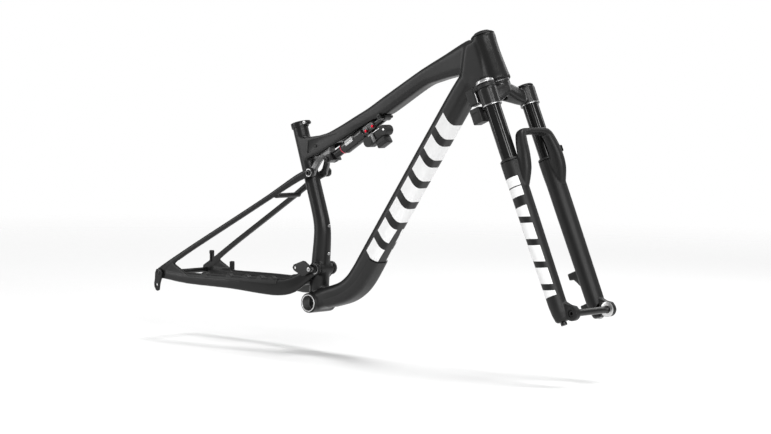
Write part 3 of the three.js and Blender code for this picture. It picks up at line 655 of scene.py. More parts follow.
GUSSET = [
    (seat_x(318), 318), (-38, 321), (20, 345), (60, 366), (100, 387), (140, 408), (120, 424),
    (60, 394), (10, 381), (seat_x(374) + SEAT_RADIUS, 374), (seat_x(376), 376),
]
HEAD_TUBE = [
    (0, 5), (29.5, 5), (29.8, 10), (28.6, 20), (27.2, 42), (26, 70), (26.2, 92), (27, 104),
    (27, 111), (0, 111),
]
HEAD_WEB = [(420, 520), (430, 592), (466, 608), (486, 560), (502, 512), (470, 496), (436, 500)]
tubes = [
    limb("down_tube", DOWN_TUBE, 0.62),
    limb("top_tube", TOP_TUBE, 0.5),
    limb("seat_tube", SEAT_TUBE, 0.98),
    turned("head_tube", HEAD_TUBE, FORK, 48),
    barrel("shell", 0, 0, BB_RADIUS, -BB_HALF, BB_HALF),
    barrel("pivot_boss", *MAIN_PIVOT, 15, -21.7, 21.7),
    slab("gusset", GUSSET, -17.5, 17.5, 3),
    slab("head_web", HEAD_WEB, -27, 27, 9),
    limb("collar_boss", [(seat_x(397) + 16, 0, 392, 6, 4), (seat_x(372) + 17, 0, 366, 4, 3)], 0.9),
]
front_skin = skin(tubes, voxel=2.4, rounds=7)
print("the front skin has", len(front_skin.data.polygons), "faces before boring")

# %% Bores, slots and pockets of the front triangle
HEAD_BORE = [
    (0, -12), (33, -12), (33, 5), (26.3, 5), (26.3, 15), (21.5, 15), (17.5, 101), (22.3, 101),
    (22.3, 111), (31, 111), (31, 126), (0, 126),
]
SEAT_AXIS = Matrix.Rotation(-math.atan(SEAT_LEAN), 4, "Y")
RECESS = [(-26, 338), (0, 352), (40, 373), (64, 387), (10, 376), (-24, 368)]
POST_HOLE = [(0, -205), (POST_BORE, -205), (POST_BORE, 0), (60, 0), (60, 20), (0, 20)]
INSERT_SEAT, INSERT_END = INSERT_OUTER + 0.3, BB_HALF - INSERT_LENGTH
SHELL_BORE = [
    (0, -50), (40, -50), (40, -BB_HALF), (INSERT_SEAT, -BB_HALF), (INSERT_SEAT, -INSERT_END),
    (BB_INSIDE, -INSERT_END), (BB_INSIDE, INSERT_END), (INSERT_SEAT, INSERT_END),
    (INSERT_SEAT, BB_HALF), (40, BB_HALF), (40, 50), (0, 50),
]
carve(
    front_skin,
    turned("head_bore", HEAD_BORE, FORK, 48),
    turned("post_hole", POST_HOLE, at(seat_x(SEAT_TOP), 0, SEAT_TOP, SEAT_AXIS), 48),
    turned("shell_bore", SHELL_BORE, ACROSS, 48),
    barrel("pivot_bore", *MAIN_PIVOT, 7.3, -40, 40),
    barrel("rocker_bore", *ROCKER_PIVOT, 5.3, -15, 30),
    barrel("rocker_seat", *ROCKER_PIVOT, 7.6, 15.5, 30),
    block("rocker_slot", (24, 0, 346), (72, 25.2, 50), 2),
    rod("shock_hollow", 17.6, -190, 15, ON_SHOCK, 48),
    barrel("mount_bore", 0, 0, 4.3, -30, 30, SHOCK),
    block("collar_split", (seat_x(SEAT_TOP - 8) + SEAT_RADIUS, 0, SEAT_TOP - 8), (18, 2, 34), 0.4),
    slab("pocket_right", RECESS, -20, -15.5, 0.8),
    slab("pocket_left", RECESS, 15.5, 20, 0.8),
)
present(
    front_skin, "front_triangle_skin", "mainframe", "carbon", "front_triangle", look="barred_carbon"
)

# %% [markdown]
# ## The rear triangle
# Chainstays, yoke, seatstays and bridge are one moulding too. The stays are thin, so the
# voxels are smaller here and the softening is short, or the brake posts would melt away.

# %% Stays, yoke and bridge
def chainstay(side):
    return [
        (-427, side * 77.2, 39, 4.6, 10), (-345, side * 74.5, 33.5, 6.2, 12),
        (-215, side * 68, 33.5, 7.5, 14), (-130, side * 57, 31, 8.5, 17.5),
        (-80, side * 48.5, 31, 8.5, 19), (-45, side * 41, 39, 8.5, 18.5),
        (-16, side * 33, 58, 6.5, 15), (12, side * 27.3, 78, 4.4, 12),
    ]


def seatstay(side):
    return [
        (-428, side * 77.4, 50, 4.2, 9), (-380, side * 73, 81, 5.5, 6.8),
        (-317, side * 65.5, 119, 6.6, 6.2), (-200, side * 52, 187, 7, 6),
        (-115, side * 42, 237, 7, 6.2), (-42, side * 33.2, 281, 6, 8.4),
        (-8, side * 29.3, 296, 4.4, 9.5),
    ]


def across(side, near, far):
    return sorted((side * near, side * far))


POSTS = ((-415, 40, 88), (-347, 30, 66))
POST_Y = 75
DROPOUT_WEB = [(-441, 34), (-425, 28), (-356, 24), (-345, 44), (-398, 71), (-432, 58), (-445, 50)]
stays = []
for side, _ in SIDES:
    stays += [
        limb("chainstay", chainstay(side), 0.75, 3),
        limb("seatstay", seatstay(side), 0.8, 3),
        slab("dropout_web", DROPOUT_WEB, *across(side, 74.3, 79.7), 1.2),
        barrel("dropout", *REAR_AXLE, 13, *across(side, 74.3, 79.7)),
        barrel("pivot_eye", *MAIN_PIVOT, 15.5, *across(side, 22.4, 32)),
        barrel("stay_eye", *STAY_PIVOT, 11, *across(side, 24.6, 34)),
    ]
stays += [
    barrel("yoke", -43, 49, 13.8, -38, 38),
    barrel("bridge", -101, 239, 5.8, -41, 41),
    barrel("axle_boss", *REAR_AXLE, 10, 79, 84.5),
    *[rod("brake_post", 6.2, foot, top, at(x, POST_Y, 0)) for x, foot, top in POSTS],
]
rear_skin = skin(stays, voxel=1.7, rounds=3)
carve(
    rear_skin,
    block("hub_space", (REAR_AXLE[0] + 20, 0, 50), (70, 148, 60), 0),
    barrel("axle_bore", *REAR_AXLE, 6.3, -90, 90),
    barrel("bearing_bore", *MAIN_PIVOT, 12.3, -40, 40),
    barrel("stay_bore", *STAY_PIVOT, 4.3, -40, 40),
    block("flat_right", (-440, -85, 35), (54, 10.5, 90), 0),
    *[rod("post_hole", 3, foot + 20, 100, at(x, POST_Y, 0)) for x, foot, _ in POSTS],
    barrel("pivot_room", *MAIN_PIVOT, 17, -22.3, 22.3),
    barrel("rocker_room", *STAY_PIVOT, 13, -24.5, 24.5),
)
present(rear_skin, "rear_triangle_skin", "swingarm", "carbon", "rear_triangle")


# %% [markdown]
# ## The guards
# Two rubber skins are glued on: a smooth one under the down tube against stones, and a ribbed
# one on the right chainstay that quiets the chain. Each is its tube drawn again a little
# thicker, cut back to the part that it covers.

# %% The stone guard and the chainstay guard
def thicker(stations, by):
    return [(x, y, z, wide + by, high + by) for x, y, z, wide, high in stations]


covered = DOWN_TUBE[1:6]
stone_guard = limb("stone_guard", thicker(covered, 2.4), 0.62)
above = [(x - 13, 0, z + 30, 50, 38) for x, y, z, wide, high in covered]
carve(stone_guard, limb("kept_clear", above, 0.3))
present(stone_guard, "stone_guard", "mainframe", "rubber", "down_tube_guard")

GUARDED = chainstay(-1)[1:5]
RIBS = 5
ribs = []
for i in range(RIBS):
    t = (i + 0.9) / (RIBS + 0.8) * (len(GUARDED) - 1)
    x, y, z, wide, high = (catmull(column, t) for column in zip(*GUARDED))
    rib = [
        (x - 13, y, z + high - 3, 6.5, 3), (x - 4, y, z + high + 3, 7, 3.5),
        (x + 4, y, z + high + 3, 7, 3.5), (x + 13, y, z + high - 3, 6.5, 3),
    ]
    ribs.append(limb("rib", rib, 0.9))
cover = limb("cover", thicker(GUARDED, 2.3), 0.7)
chain_guard = skin([cover, *ribs], voxel=1.4, rounds=2)
below = [(x, y, z - 32, 20, 40) for x, y, z, wide, high in chainstay(-1)[:6]]
carve(chain_guard, limb("kept_clear", below, 0.3))
present(chain_guard, "chainstay_guard_skin", "swingarm", "rubber", "chainstay_guard")

# %% [markdown]
# ## The fork
# The crown is forged and machined, the lowers are one magnesium casting, and the stanchions
# are plain ground tubes. The casting gets the same treatment as the carbon skins: solids
# fused and softened, then bored. The tubes and caps are turned, because a lathe makes them.

# %% Finishes of the fork
FORK_UP = (STEER_UP[0], 0, STEER_UP[1])
FORK_AHEAD = (STEER_FORWARD[0], 0, STEER_FORWARD[1])
FORK_START = (CROWN_RACE[0] * MM, 0, CROWN_RACE[1] * MM)
SQUARE_RUN, SQUARE_HALF = (-0.262, -0.219), 0.0165
LEG_BAR_RUN, LEG_BAR_HALF, LEG_BAR_STEP = (-0.484, -0.284), 0.015, 0.05


def cast_legs():
    """Matte paint over a casting, with a plain square and plain bars outside each leg."""
    bench = Bench("matte_cast_legs")
    broad, fine = bench.noise(10, 2), bench.noise(1300, 4)
    tone = bench.mix(broad, shade(0.007), shade(0.012))
    up = bench.along(FORK_UP, FORK_START)
    ahead = (bench.along(FORK_AHEAD, FORK_START) - 0.015).size()
    outside = bench.along((0, 1, 0)).size().above(0.077)
    square = up.between(*SQUARE_RUN) * ahead.below(SQUARE_HALF)
    line = (up + 0.2405).size().below(0.0012)
    slant = (up + bench.along(FORK_AHEAD, FORK_START) * SLANT) / LEG_BAR_STEP
    bars = up.between(*LEG_BAR_RUN) * ahead.below(LEG_BAR_HALF) * slant.part().below(0.72)
    mask = outside * (square * (1 - line) + bars)
    tone = bench.mix(mask, tone, shade(0.8))
    sheen = 0.44 + (broad - 0.5) * 0.1 + (fine - 0.5) * 0.12
    return bench.surface(tone, sheen, 0, fine, 0.00006, {"Specular IOR Level": 0.25})


FINISHES["lowers"] = cast_legs()
FINISHES["crown_black"] = finish("crown_black", shade(0.012), 0.3, 0.3, 1600, depth=0.000005)
FINISHES["stanchion_black"] = finish(
    "stanchion_black", shade(0.012), 0.1, 0.55, 3000, (1, 1, 0.05), 0.000005
)
print("three fork finishes")

# %% The crown
LEG_FORWARD, LEG_Y, LEG_TOP, STANCHION_BORE = 15, 66, -183.3, 17.8
SIDEWAYS = Matrix.Rotation(math.pi / 2, 4, "Z")
CROWN_ARMS = mirrored([
    (-66, -14, -39, 13, 14), (-48, -10, -35, 14.5, 16.5), (-26, -6, -26, 18, 17),
    (0, -1, -17, 24, 16),
])


def on_leg(side, turn=WORLD):
    return at(LEG_FORWARD, side * LEG_Y, 0, turn, FORK)


crown = [
    limb("crown_bridge", CROWN_ARMS, 0.7, 4, FORK @ SIDEWAYS),
    turned("crown_post", [(0, -30), (23, -30), (25.3, -25), (25.3, 0), (0, 0)], FORK),
]
CLAMP = [(0, -55.8), (20.6, -55.8), (20.9, -54.8), (21.3, -18), (20.2, -16.2), (0, -16.2)]
crown += [turned("crown_clamp", CLAMP, on_leg(side)) for side, _ in SIDES]
crown_skin = skin(crown, voxel=1.5, rounds=5)
STEERER_SEAT = [(0, -60), (10, -60), (10, -14.3), (19.9, -14.3), (19.9, 9), (0, 9)]
carve(
    crown_skin,
    *[rod("stanchion_bore", STANCHION_BORE, -70, 0, on_leg(side), 48) for side, _ in SIDES],
    turned("steerer_seat", STEERER_SEAT, FORK),
)
present(crown_skin, "crown_forging", "fork", "gloss_black", "crown", look="crown_black")
RIM = [(20.6, -56), (21.4, -56), (21.4, -53.6), (20.6, -53.6)]
for side, word in SIDES:
    rim = turned("rim", RIM, on_leg(side), 64, 0.2)
    present(rim, f"crown_rim_{word}", "fork", "gloss_black", look="steel")

# %% Stanchions, steerer and headset
STANCHION = [(14.5, -398), (17.5, -397), (17.5, -18), (14.5, -18)]
for side, word in SIDES:
    tube = turned("tube", STANCHION, on_leg(side), 64)
    node = f"stanchion_{word}"
    present(tube, f"stanchion_tube_{word}", "fork", "gloss_black", node, look="stanchion_black")
STEERER = [(11, -14), (19.6, -14), (19.6, 8), (17, 40), (14.3, 66), (14.3, 116), (11, 116)]
RACE = [(20, 0.4), (25.3, 0.4), (25.5, 1.5), (23.5, 4.6), (20, 4.6)]
COVER = [(14.7, 111.4), (26.6, 111.4), (26.6, 112.6), (23.5, 115.6), (14.7, 115.6)]
PLUG = [(0, 116.3), (19, 116.3), (19, 117.4), (17, 119.8), (5, 119.8), (4.5, 119), (0, 119)]
for name, slot, node, look, *shape in (
    ("steerer_tube", "black_alloy", "steerer", None, STEERER, FORK),
    ("crown_race_ring", "steel", "crown_race", "grey_alloy", RACE, FORK),
    ("headset_cover", "plastic", "headset_top_cover", None, COVER, FORK, 48, 0.3),
    ("steerer_cap", "black_alloy", "steerer_plug", None, PLUG, FORK, 48, 0.3),
):
    present(turned(name, *shape), name, "fork", slot, node, look=look)
low_bearing = ring("bearing", 20.4, 26, 5.6, 12.6, FORK, 48)
present(low_bearing, "headset_bearing_low", "mainframe", "steel", "headset_lower_bearing")
high_bearing = ring("bearing", 14.9, 22, 102.5, 109.5, FORK, 48)
present(high_bearing, "headset_bearing_high", "mainframe", "steel", "headset_upper_bearing")

# %% The lowers
LEG = [
    (0, -540), (12, -540), (15.5, -537), (18.5, -522), (20, -503), (20.4, -420), (21.2, -300),
    (21.4, -235), (22.3, -212), (22.4, -186), (22, LEG_TOP), (0, LEG_TOP),
]
ARCH = mirrored([
    (-64, -26, -244, 12, 9), (-61, -36, -212, 18, 12), (-57, -45, -180, 14.5, 12),
    (-51, -47, -150, 12, 11), (-43, -47, -133, 11, 9.5), (-24, -47.5, -128.5, 10, 7),
    (0, -47.5, -128, 10, 6.6),
])
DROPOUT = [
    (27, -521), (33, -544), (44, -548), (54, -544), (58.5, -532), (56, -520), (44, -513),
    (32, -500), (28, -488), (2, -488), (2, -504), (8, -519),
]
FRONT_HUB = (44, -532)
BRAKE_MOUNT = (-17, 71, -434)
MOUNT_WEB = [(-20, 71, -436, 5, 7), (-6, 69, -450, 6, 10), (6, 67, -470, 6, 10)]
casting = [limb("arch", ARCH, 0.75, 4, FORK @ SIDEWAYS)]
for side, _ in SIDES:
    casting += [
        turned("leg", LEG, on_leg(side), 48),
        slab("dropout", DROPOUT, *across(side, 55.3, 71.8), 2.5, FORK),
        barrel("axle_boss", 43, -532, 15.5, *across(side, 55.3, 72), FORK),
    ]
casting += [
    block("brake_mount", BRAKE_MOUNT, (30, 13, 15), 1, FORK),
    block("brake_mount", (-11, 71, -508), (30, 13, 15), 1, FORK),
    limb("mount_web", MOUNT_WEB, 0.8, 3, FORK),
]
lowers_skin = skin(casting, voxel=1.9, rounds=4)
LEG_BORE = [
    (0, -525), (STANCHION_BORE, -525), (STANCHION_BORE, -180), (20, -178), (22.9, -177),
    (22.9, -80), (0, -80),
]
carve(
    lowers_skin,
    *[turned("leg_bore", LEG_BORE, on_leg(side), 48) for side, _ in SIDES],
    barrel("hub_space", *FRONT_HUB, 24, -55.3, 55.3, FORK),
    barrel("axle_bore", *FRONT_HUB, 7.8, -80, 80, FORK),
    rod("mount_hole", 3, -60, -20, at(0, *BRAKE_MOUNT[1:], FORWARD, FORK)),
)
present(lowers_skin, "fork_legs_casting", "lowers", "lowers", "fork_lowers")
WIPER = [
    (STANCHION_BORE, -182.6), (22.1, -182.6), (22.1, -179.5), (20.5, -177.6), (18, -177.3),
    (STANCHION_BORE, -178),
]
for side, word in SIDES:
    wiper = turned("wiper", WIPER, on_leg(side), 48)
    present(wiper, f"wiper_{word}", "lowers", "rubber", f"wiper_seal_{word}")


# %% [markdown]
# ## Bolts, axles and bearings
# Small turned pieces sit at every pivot. Bolt heads and axles have a hexagon socket, so one
# helper cuts a six-sided hole into a head, and another turns a bolt across the frame.

# %% Bolts across the frame
def socket(obj, place, radius, low, high):
    """A six-sided hole along the place's own Z."""
    return carve(obj, rod("key_hole", radius, low, high, place, 6))


def cross_bolt(name, x, z, profile, hexagon, place=WORLD, corner=0.4):
    turning = across_at(x, z, place)
    return socket(turned(name, profile, turning, 36, corner), turning, *hexagon)


MAIN_SHAFT = [(0, -36.5), (10, -36.5), (10, -34.3), (7, -34.3), (7, 33.5), (0, 33.5)]
axle = cross_bolt("axle", *MAIN_PIVOT, MAIN_SHAFT, (4, -40, -33))
present(axle, "main_pivot_shaft", "mainframe", "black_alloy", "main_pivot_axle")
nut = ring("nut", 7.3, 10, 34, 36.5, across_at(*MAIN_PIVOT), corner=0.4)
present(nut, "main_pivot_ring", "mainframe", "black_alloy", "main_pivot_nut")
ROCKER_SHAFT = [(0, -14.6), (5, -14.6), (5, 16), (7.2, 16), (7.2, 18), (0, 18)]
axle = cross_bolt("axle", *ROCKER_PIVOT, ROCKER_SHAFT, (2.6, 14, 22))
present(axle, "rocker_shaft", "mainframe", "black_alloy", "rocker_axle")
MOUNT_BOLT = [(0, -24.5), (6, -24.5), (6, -22.3), (4, -22.3), (4, 21.5), (0, 21.5)]
bolt = cross_bolt("bolt", 0, 0, MOUNT_BOLT, (2.6, -30, -23), SHOCK)
present(bolt, "shock_mount_pin", "mainframe", "black_alloy", "shock_mount_bolt")

# %% Seatstay bolts, bearings and bottom-bracket inserts
STAY_BOLT = [(0, 25), (4, 25), (4, 34.4), (7, 34.4), (7, 36.8), (0, 36.8)]
INSERT = [(17.4, 13.2), (19.5, 13.2), (19.5, 36.6), (19, 37.1), (17.9, 37.1), (17.4, 36.6)]
BEARINGS = (
    ("main_pivot_bearing", "swingarm", MAIN_PIVOT, (7.3, 12, 22.6, 31.6)),
    ("rocker_bearing", "rocker", ROCKER_PIVOT, (5.3, 7.6, 4, 11)),
)
for side, word in SIDES:
    flip = Matrix.Rotation(0 if side > 0 else math.pi, 4, "X")
    spot = across_at(*STAY_PIVOT, WORLD, flip)
    bolt = socket(turned("bolt", STAY_BOLT, spot, 36, 0.5), spot, 2.8, 34.6, 40)
    present(bolt, f"seatstay_pin_{word}", "swingarm", "black_alloy", f"seatstay_bolt_{word}")
    washer = ring("washer", 7.3, 8.9, 34.2, 34.8, spot, corner=0.2)
    present(washer, f"seatstay_washer_{word}", "swingarm", "black_alloy", look="silver_alloy")
    for name, body, centre, size in BEARINGS:
        bearing = ring("bearing", *size, across_at(*centre, WORLD, flip))
        present(bearing, f"{name}_{word}_ring", body, "steel", f"{name}_{word}")
    insert = turned("insert", INSERT, across_at(0, 0, WORLD, flip), 64)
    # The right insert keeps its own silver. The left one is black alloy as painted shade, so the
    # inside of the bottom-bracket bore stays dark.
    silver_or_painted_shade = "silver_alloy" if side < 0 else "black_alloy"
    node = f"bb_thread_insert_{word}"
    present(insert, f"bb_insert_{word}", "mainframe", "silver_alloy", node, look=silver_or_painted_shade)

# %% Thru-axles and the hanger
REAR_AXLE_SHAPE = [
    (0, -87), (4.5, -87), (6, -86), (6, 84.8), (9.5, 84.8), (9.5, 87.5), (8.5, 88.5), (0, 88.5),
]
axle = cross_bolt("axle", *REAR_AXLE, REAR_AXLE_SHAPE, (3.4, 80, 92), corner=0)
present(axle, "rear_thru_axle", "swingarm", "black_alloy", "rear_axle")
FRONT_AXLE_SHAPE = [
    (0, -70), (6.3, -70), (7.5, -69), (7.5, 72.4), (10, 72.4), (10, 75), (9, 76), (0, 76),
]
axle = cross_bolt("axle", *FRONT_HUB, FRONT_AXLE_SHAPE, (3.6, 68, 80), FORK, 0)
socket(axle, across_at(*FRONT_HUB, FORK), 4, -75, -62)
present(axle, "front_thru_axle", "lowers", "black_alloy", "front_axle")
DISH = [(8.3, 54.7), (15, 54.7), (16.4, 55.4), (16.4, 56), (8.3, 56)]
dish = turned("dish", DISH, across_at(*FRONT_HUB, FORK), 48)
present(dish, "front_hub_face_left", "lowers", "lowers", look="silver_alloy")
HANGER = [
    (-445, 42), (-441, 50), (-433, 51.5), (-425, 48), (-421.7, 40), (-425, 30), (-430, 18),
    (-431.5, 10), (-432.5, 1), (-437, -2), (-442, 0), (-447, 8), (-448, 16), (-446, 26),
]
hanger = slab("hanger", HANGER, -86, -80, 1.2)
carve(
    hanger,
    barrel("axle_hole", *REAR_AXLE, 6.3, -90, -70),
    barrel("hanger_hole", -440, 13, 4.5, -90, -70),
)
present(hanger, "hanger_plate", "swingarm", "black_alloy", "derailleur_hanger")

# %% Bottle bolts and cable plug
BOLT_HEAD = [(0, 0.3), (4, 0.3), (3.9, 1.4), (2.8, 3), (0, 3)]
STRAIGHT_FROM, STRAIGHT_TO = DOWN_TUBE[6], DOWN_TUBE[7]
STRAIGHT_X, STRAIGHT_Z = STRAIGHT_TO[0] - STRAIGHT_FROM[0], STRAIGHT_TO[2] - STRAIGHT_FROM[2]
DOWN_SLOPE = math.atan2(STRAIGHT_Z, STRAIGHT_X)
BOLT_STAND = 26.1


def bottle_bolt(name, x, z, tilt):
    spot = at(x, 0, z, Matrix.Rotation(tilt, 4, "Y"))
    bolt = turned("bolt", BOLT_HEAD, spot, 24)
    socket(bolt, spot, 1.6, 1.2, 6)
    present(bolt, f"{name}_head", "mainframe", "steel", name)


bottle_bolt("bottle_bolt_seat_upper", 27.8, 176, math.pi / 2)
bottle_bolt("bottle_bolt_seat_lower", 27.6, 112, math.pi / 2)
for word, share in (("lower", 0.12), ("upper", 0.45)):
    x = STRAIGHT_FROM[0] + STRAIGHT_X * share - math.sin(DOWN_SLOPE) * BOLT_STAND
    z = STRAIGHT_FROM[2] + STRAIGHT_Z * share + math.cos(DOWN_SLOPE) * BOLT_STAND
    bottle_bolt(f"bottle_bolt_down_{word}", x, z, -DOWN_SLOPE)
plug = slab("plug", [(-7, 352.5), (1, 352.5), (2, 359.5), (-6, 359.5)], -17.2, -15.8, 0.6)
present(plug, "cable_port_cover", "mainframe", "rubber", "cable_port_plug")


# %% The seat collar
COLLAR_HEIGHT, COLLAR_OVERLAP = 12, 10.5
COLLAR_Z = SEAT_TOP - COLLAR_OVERLAP
COLLAR = at(seat_x(COLLAR_Z), 0, COLLAR_Z, SEAT_AXIS)
COLLAR_BOLT = [
    (0, -11.5), (4, -11.5), (4, -8.4), (2.5, -8.4), (2.5, 8.4), (4, 8.4), (4, 10), (0, 10),
]
band = ring("band", 17.9, 20.2, 0, COLLAR_HEIGHT, COLLAR, 64)
weld(band, block("lug", (22.5, 0, COLLAR_HEIGHT / 2), (9, 16, 10), 2, COLLAR))
spot = at(23, 0, COLLAR_HEIGHT / 2, ACROSS, COLLAR)
carve(
    band,
    block("split", (22, 0, COLLAR_HEIGHT / 2), (20, 2, 40), 0, COLLAR),
    rod("hole", 3, -9, 9, spot),
)
present(band, "seat_collar_band", "mainframe", "black_alloy", "seat_collar")
bolt = socket(turned("bolt", COLLAR_BOLT, spot, 24, 0.3), spot, 1.8, -13, -9)
present(bolt, "seat_collar_pin", "mainframe", "steel", "seat_collar_bolt")

# %% The chain guide
GUIDE = [
    (12, 71), (19, 78), (17.5, 84), (-1, 96), (-8, 96.5), (-36, 86), (-39.5, 79), (-35, 72.5),
    (-9, 61.5), (-3, 62),
]
guide = slab("guide", GUIDE, -48, -44.5, 1.2)
carve(
    guide,
    barrel("bolt_hole", *MAIN_PIVOT, 3.3, -60, -30),
    barrel("guide_hole", -32, 79, 3.5, -60, -30),
)
present(guide, "chain_guide_plate", "mainframe", "plastic", "chain_guide")
GUIDE_BOLT = [
    (0, -50.5), (5, -50.5), (5, -48.3), (3, -48.3), (3, -44.2), (6, -44.2), (6, -36.8), (0, -36.8),
]
bolt = cross_bolt("bolt", *MAIN_PIVOT, GUIDE_BOLT, (1.8, -53, -49))
present(bolt, "chain_guide_pin", "mainframe", "steel", "chain_guide_bolt")

# %% [markdown]
# ## The rocker and the shock
# The rocker is a short machined lever with two curved arms. The shock is an air can on a
# ground shaft, with a cast head that holds two red dials, and below it hangs the wireless
# control box with its clip-in battery.

# %% The rocker
ARM = [(-6, 20.8, 296, 2.8, 9), (4, 17, 316, 3.2, 9), (13, 6.8, 337, 3, 8), (24, 6, 358, 3, 7)]
lever = []
for side, _ in SIDES:
    lever += [
        limb("arm", [(x, side * y, z, wide, high) for x, y, z, wide, high in ARM], 0.6, 4),
        barrel("eye", *STAY_PIVOT, 9.5, *across(side, 17.9, 23.9)),
    ]
lever += [
    barrel("hub", *ROCKER_PIVOT, 10, -12, 12),
    barrel("lobe", *CLEVIS, 8.8, -9.6, 9.6),
    slab("lobe_web", [(14.2, 356), (22.2, 327), (39.8, 329), (33.8, 360)], -9.6, 9.6, 0.5),
]
rocker = skin(lever, voxel=0.9, rounds=3)
carve(
    rocker,
    barrel("hub_bore", *ROCKER_PIVOT, 7.9, -14, 14),
    barrel("lobe_bore", *CLEVIS, 6.4, -14, 14),
)
present(rocker, "rocker_lever", "rocker", "black_alloy", "rocker_link", look="grey_alloy")

# %% The shock's can, head and eye
CAN = [
    (0, -78), (9.8, -78), (9.8, -143), (12.5, -143), (12.5, -139), (14.6, -137.8), (15.5, -136.5),
    (15.5, -96), (15, -95), (15, -93), (15.5, -92), (15.5, -70), (14, -68), (0, -68),
]
LABEL_RUN = (-0.124, -0.1)
SHOCK_DIALS = (("compression", -34), ("rebound", -56))
DIAL_DROP = -5


def labelled_can():
    bench = Bench("gloss_can_with_plain_label")
    broad, fine = bench.noise(12, 2), bench.noise(900, 3)
    eye = (SHOCK_EYE[0] * MM, 0, SHOCK_EYE[1] * MM)
    forward = bench.along((math.cos(SHOCK_TILT), 0, math.sin(SHOCK_TILT)), eye)
    up = bench.along((-math.sin(SHOCK_TILT), 0, math.cos(SHOCK_TILT)), eye)
    outside = bench.along((0, 1, 0)).size().above(0.0085)
    band = (up - 0.002).size().below(0.006) * (1 - (up - 0.002).size().below(0.0008))
    label = forward.between(*LABEL_RUN) * outside * band
    tone = bench.mix(label, bench.mix(broad, shade(0.008), shade(0.014)), shade(0.55))
    return bench.surface(tone, 0.16 + broad * 0.08, 0.1, fine, 0.00001)


FINISHES["can"] = labelled_can()
head = skin(
    [
        turned("can", CAN, ON_SHOCK, 48),
        block("head", (-48.5, 0, 0), (42, 22, 24), 5, SHOCK),
        rod("neck", 9.3, -32, -4, ON_SHOCK),
        barrel("eye", 0, 0, 9.2, -11, 11, SHOCK),
        *[barrel("dial_seat", x, DIAL_DROP, 6.5, -11.4, 0, SHOCK) for _, x in SHOCK_DIALS],
    ],
    voxel=0.9,
    rounds=2,
)
carve(
    head,
    barrel("eye_bore", 0, 0, 4.3, -20, 20, SHOCK),
    *[barrel("dial_bore", x, DIAL_DROP, 3, -20, -6, SHOCK) for _, x in SHOCK_DIALS],
)
present(head, "shock_can_and_head", "shock", "gloss_black", "shock_body", look="can")
RING_SHAPE = [(9.8, -145.6), (11.3, -145.8), (11.6, -144.7), (11.3, -143.6), (9.8, -143.8)]
travel_ring = turned("ring", RING_SHAPE, ON_SHOCK, 48)
present(travel_ring, "travel_ring", "shock", "red_rubber", "shock_o_ring")

# %% Dials and valve
GROOVE_SHARE = 0.09


def dial(name, spot, radius, low, high, teeth, stem):
    """A dial with a milled rim, turned about the place's own Z. Its stem is (radius, foot)."""
    thin, foot = stem
    profile = [(0, foot), (thin, foot), (thin, low), (radius, low), (radius, high), (0, high)]
    made = turned(name, profile, spot, 48, 0.4)
    cutters = []
    for i in range(teeth):
        angle = 2 * math.pi * i / teeth
        place = spot @ Matrix.Rotation(angle, 4, "Z") @ Matrix.Translation((radius * MM, 0, 0))
        cutters.append(rod("groove", radius * GROOVE_SHARE, low - 1, high + 1, place, 8))
    return carve(made, merged(*cutters))


SHOCK_FACE = Matrix.Rotation(math.pi / 2, 4, "X")
for word, x in SHOCK_DIALS:
    spot = at(x, 0, DIAL_DROP, SHOCK_FACE, SHOCK)
    knob = dial("dial", spot, radius=3.2, low=11.7, high=15.6, teeth=12, stem=(2.6, 7))
    present(knob, f"shock_{word}_knob", f"shock_dial_{word}", "red_alloy", f"shock_{word}_dial")
VALVE_TURN = Matrix.Rotation(math.radians(45), 4, "X")
VALVE = [(0, 15.6), (2.6, 15.6), (2.6, 16.2), (2, 17), (0, 17)]
valve = turned("valve", VALVE, at(-130, 0, 0, VALVE_TURN, SHOCK), 24)
present(valve, "shock_valve_cap", "shock", "steel", "shock_air_valve")

# %% The shaft and its yoke
BACK = -SHOCK_LENGTH
shaft = turned("shaft", [(0, BACK + 13), (9.5, BACK + 13), (9.5, -112), (0, -112)], ON_SHOCK, 48)
yoke = [block("yoke", (BACK + 14.8, 0, -3), (4.6, 30, 17), 1, SHOCK)]
CHEEK = [
    (BACK - 6, -7.5), (BACK + 4, -9.3), (BACK + 16.5, -8.5), (BACK + 16.5, 5), (BACK + 9, 8.5),
    (BACK + 2, 9.3), (BACK - 6, 7.5), (BACK - 9.4, 0),
]
yoke += [slab("cheek", CHEEK, *across(side, 10.3, 15), 0.8, SHOCK) for side, _ in SIDES]
weld(shaft, *yoke)
carve(shaft, barrel("pin_bore", BACK, 0, 3.8, -20, 20, SHOCK))
present(shaft, "shock_shaft_and_yoke", "shaft", "black_alloy", "shock_shaft")
PIN = [
    (0, -17.5), (6, -17.5), (6, -15.3), (3.5, -15.3), (3.5, 15.3), (6, 15.3), (6, 17.5), (0, 17.5),
]
pin = cross_bolt("pin", BACK, 0, PIN, (2.2, -19, -16), SHOCK)
present(pin, "clevis_pin", "shaft", "steel", "clevis_bolt", look="black_alloy")

# %% The shock's control box
BOX_X, BOX_Y, BOX_Z = -36, -6, -29
BOX_RADIUS, BOX_REACH = 12, 26
PILL = [(BOX_X + step, BOX_Y, BOX_Z, BOX_RADIUS, BOX_RADIUS) for step in (-BOX_REACH, 0, BOX_REACH)]
BOX_SPAN = (BOX_Y - BOX_RADIUS, BOX_Y + BOX_RADIUS)
pieces = [
    limb("pill", PILL, 0.75, 3, SHOCK),
    barrel("end", BOX_X - BOX_REACH, BOX_Z, BOX_RADIUS, *BOX_SPAN, SHOCK),
    barrel("end", BOX_X + BOX_REACH, BOX_Z, BOX_RADIUS, *BOX_SPAN, SHOCK),
    block("neck", (BOX_X - 8, 0, BOX_Z + 12), (14, 12, 9), 2, SHOCK),
]
pill = skin(pieces, voxel=0.9, rounds=3)
carve(pill, block("battery_bay", (BOX_X + 8, BOX_Y, BOX_Z - 22), (31, 30, 24), 0, SHOCK))
present(pill, "shock_control_box", "shock", "plastic", "shock_control_module")
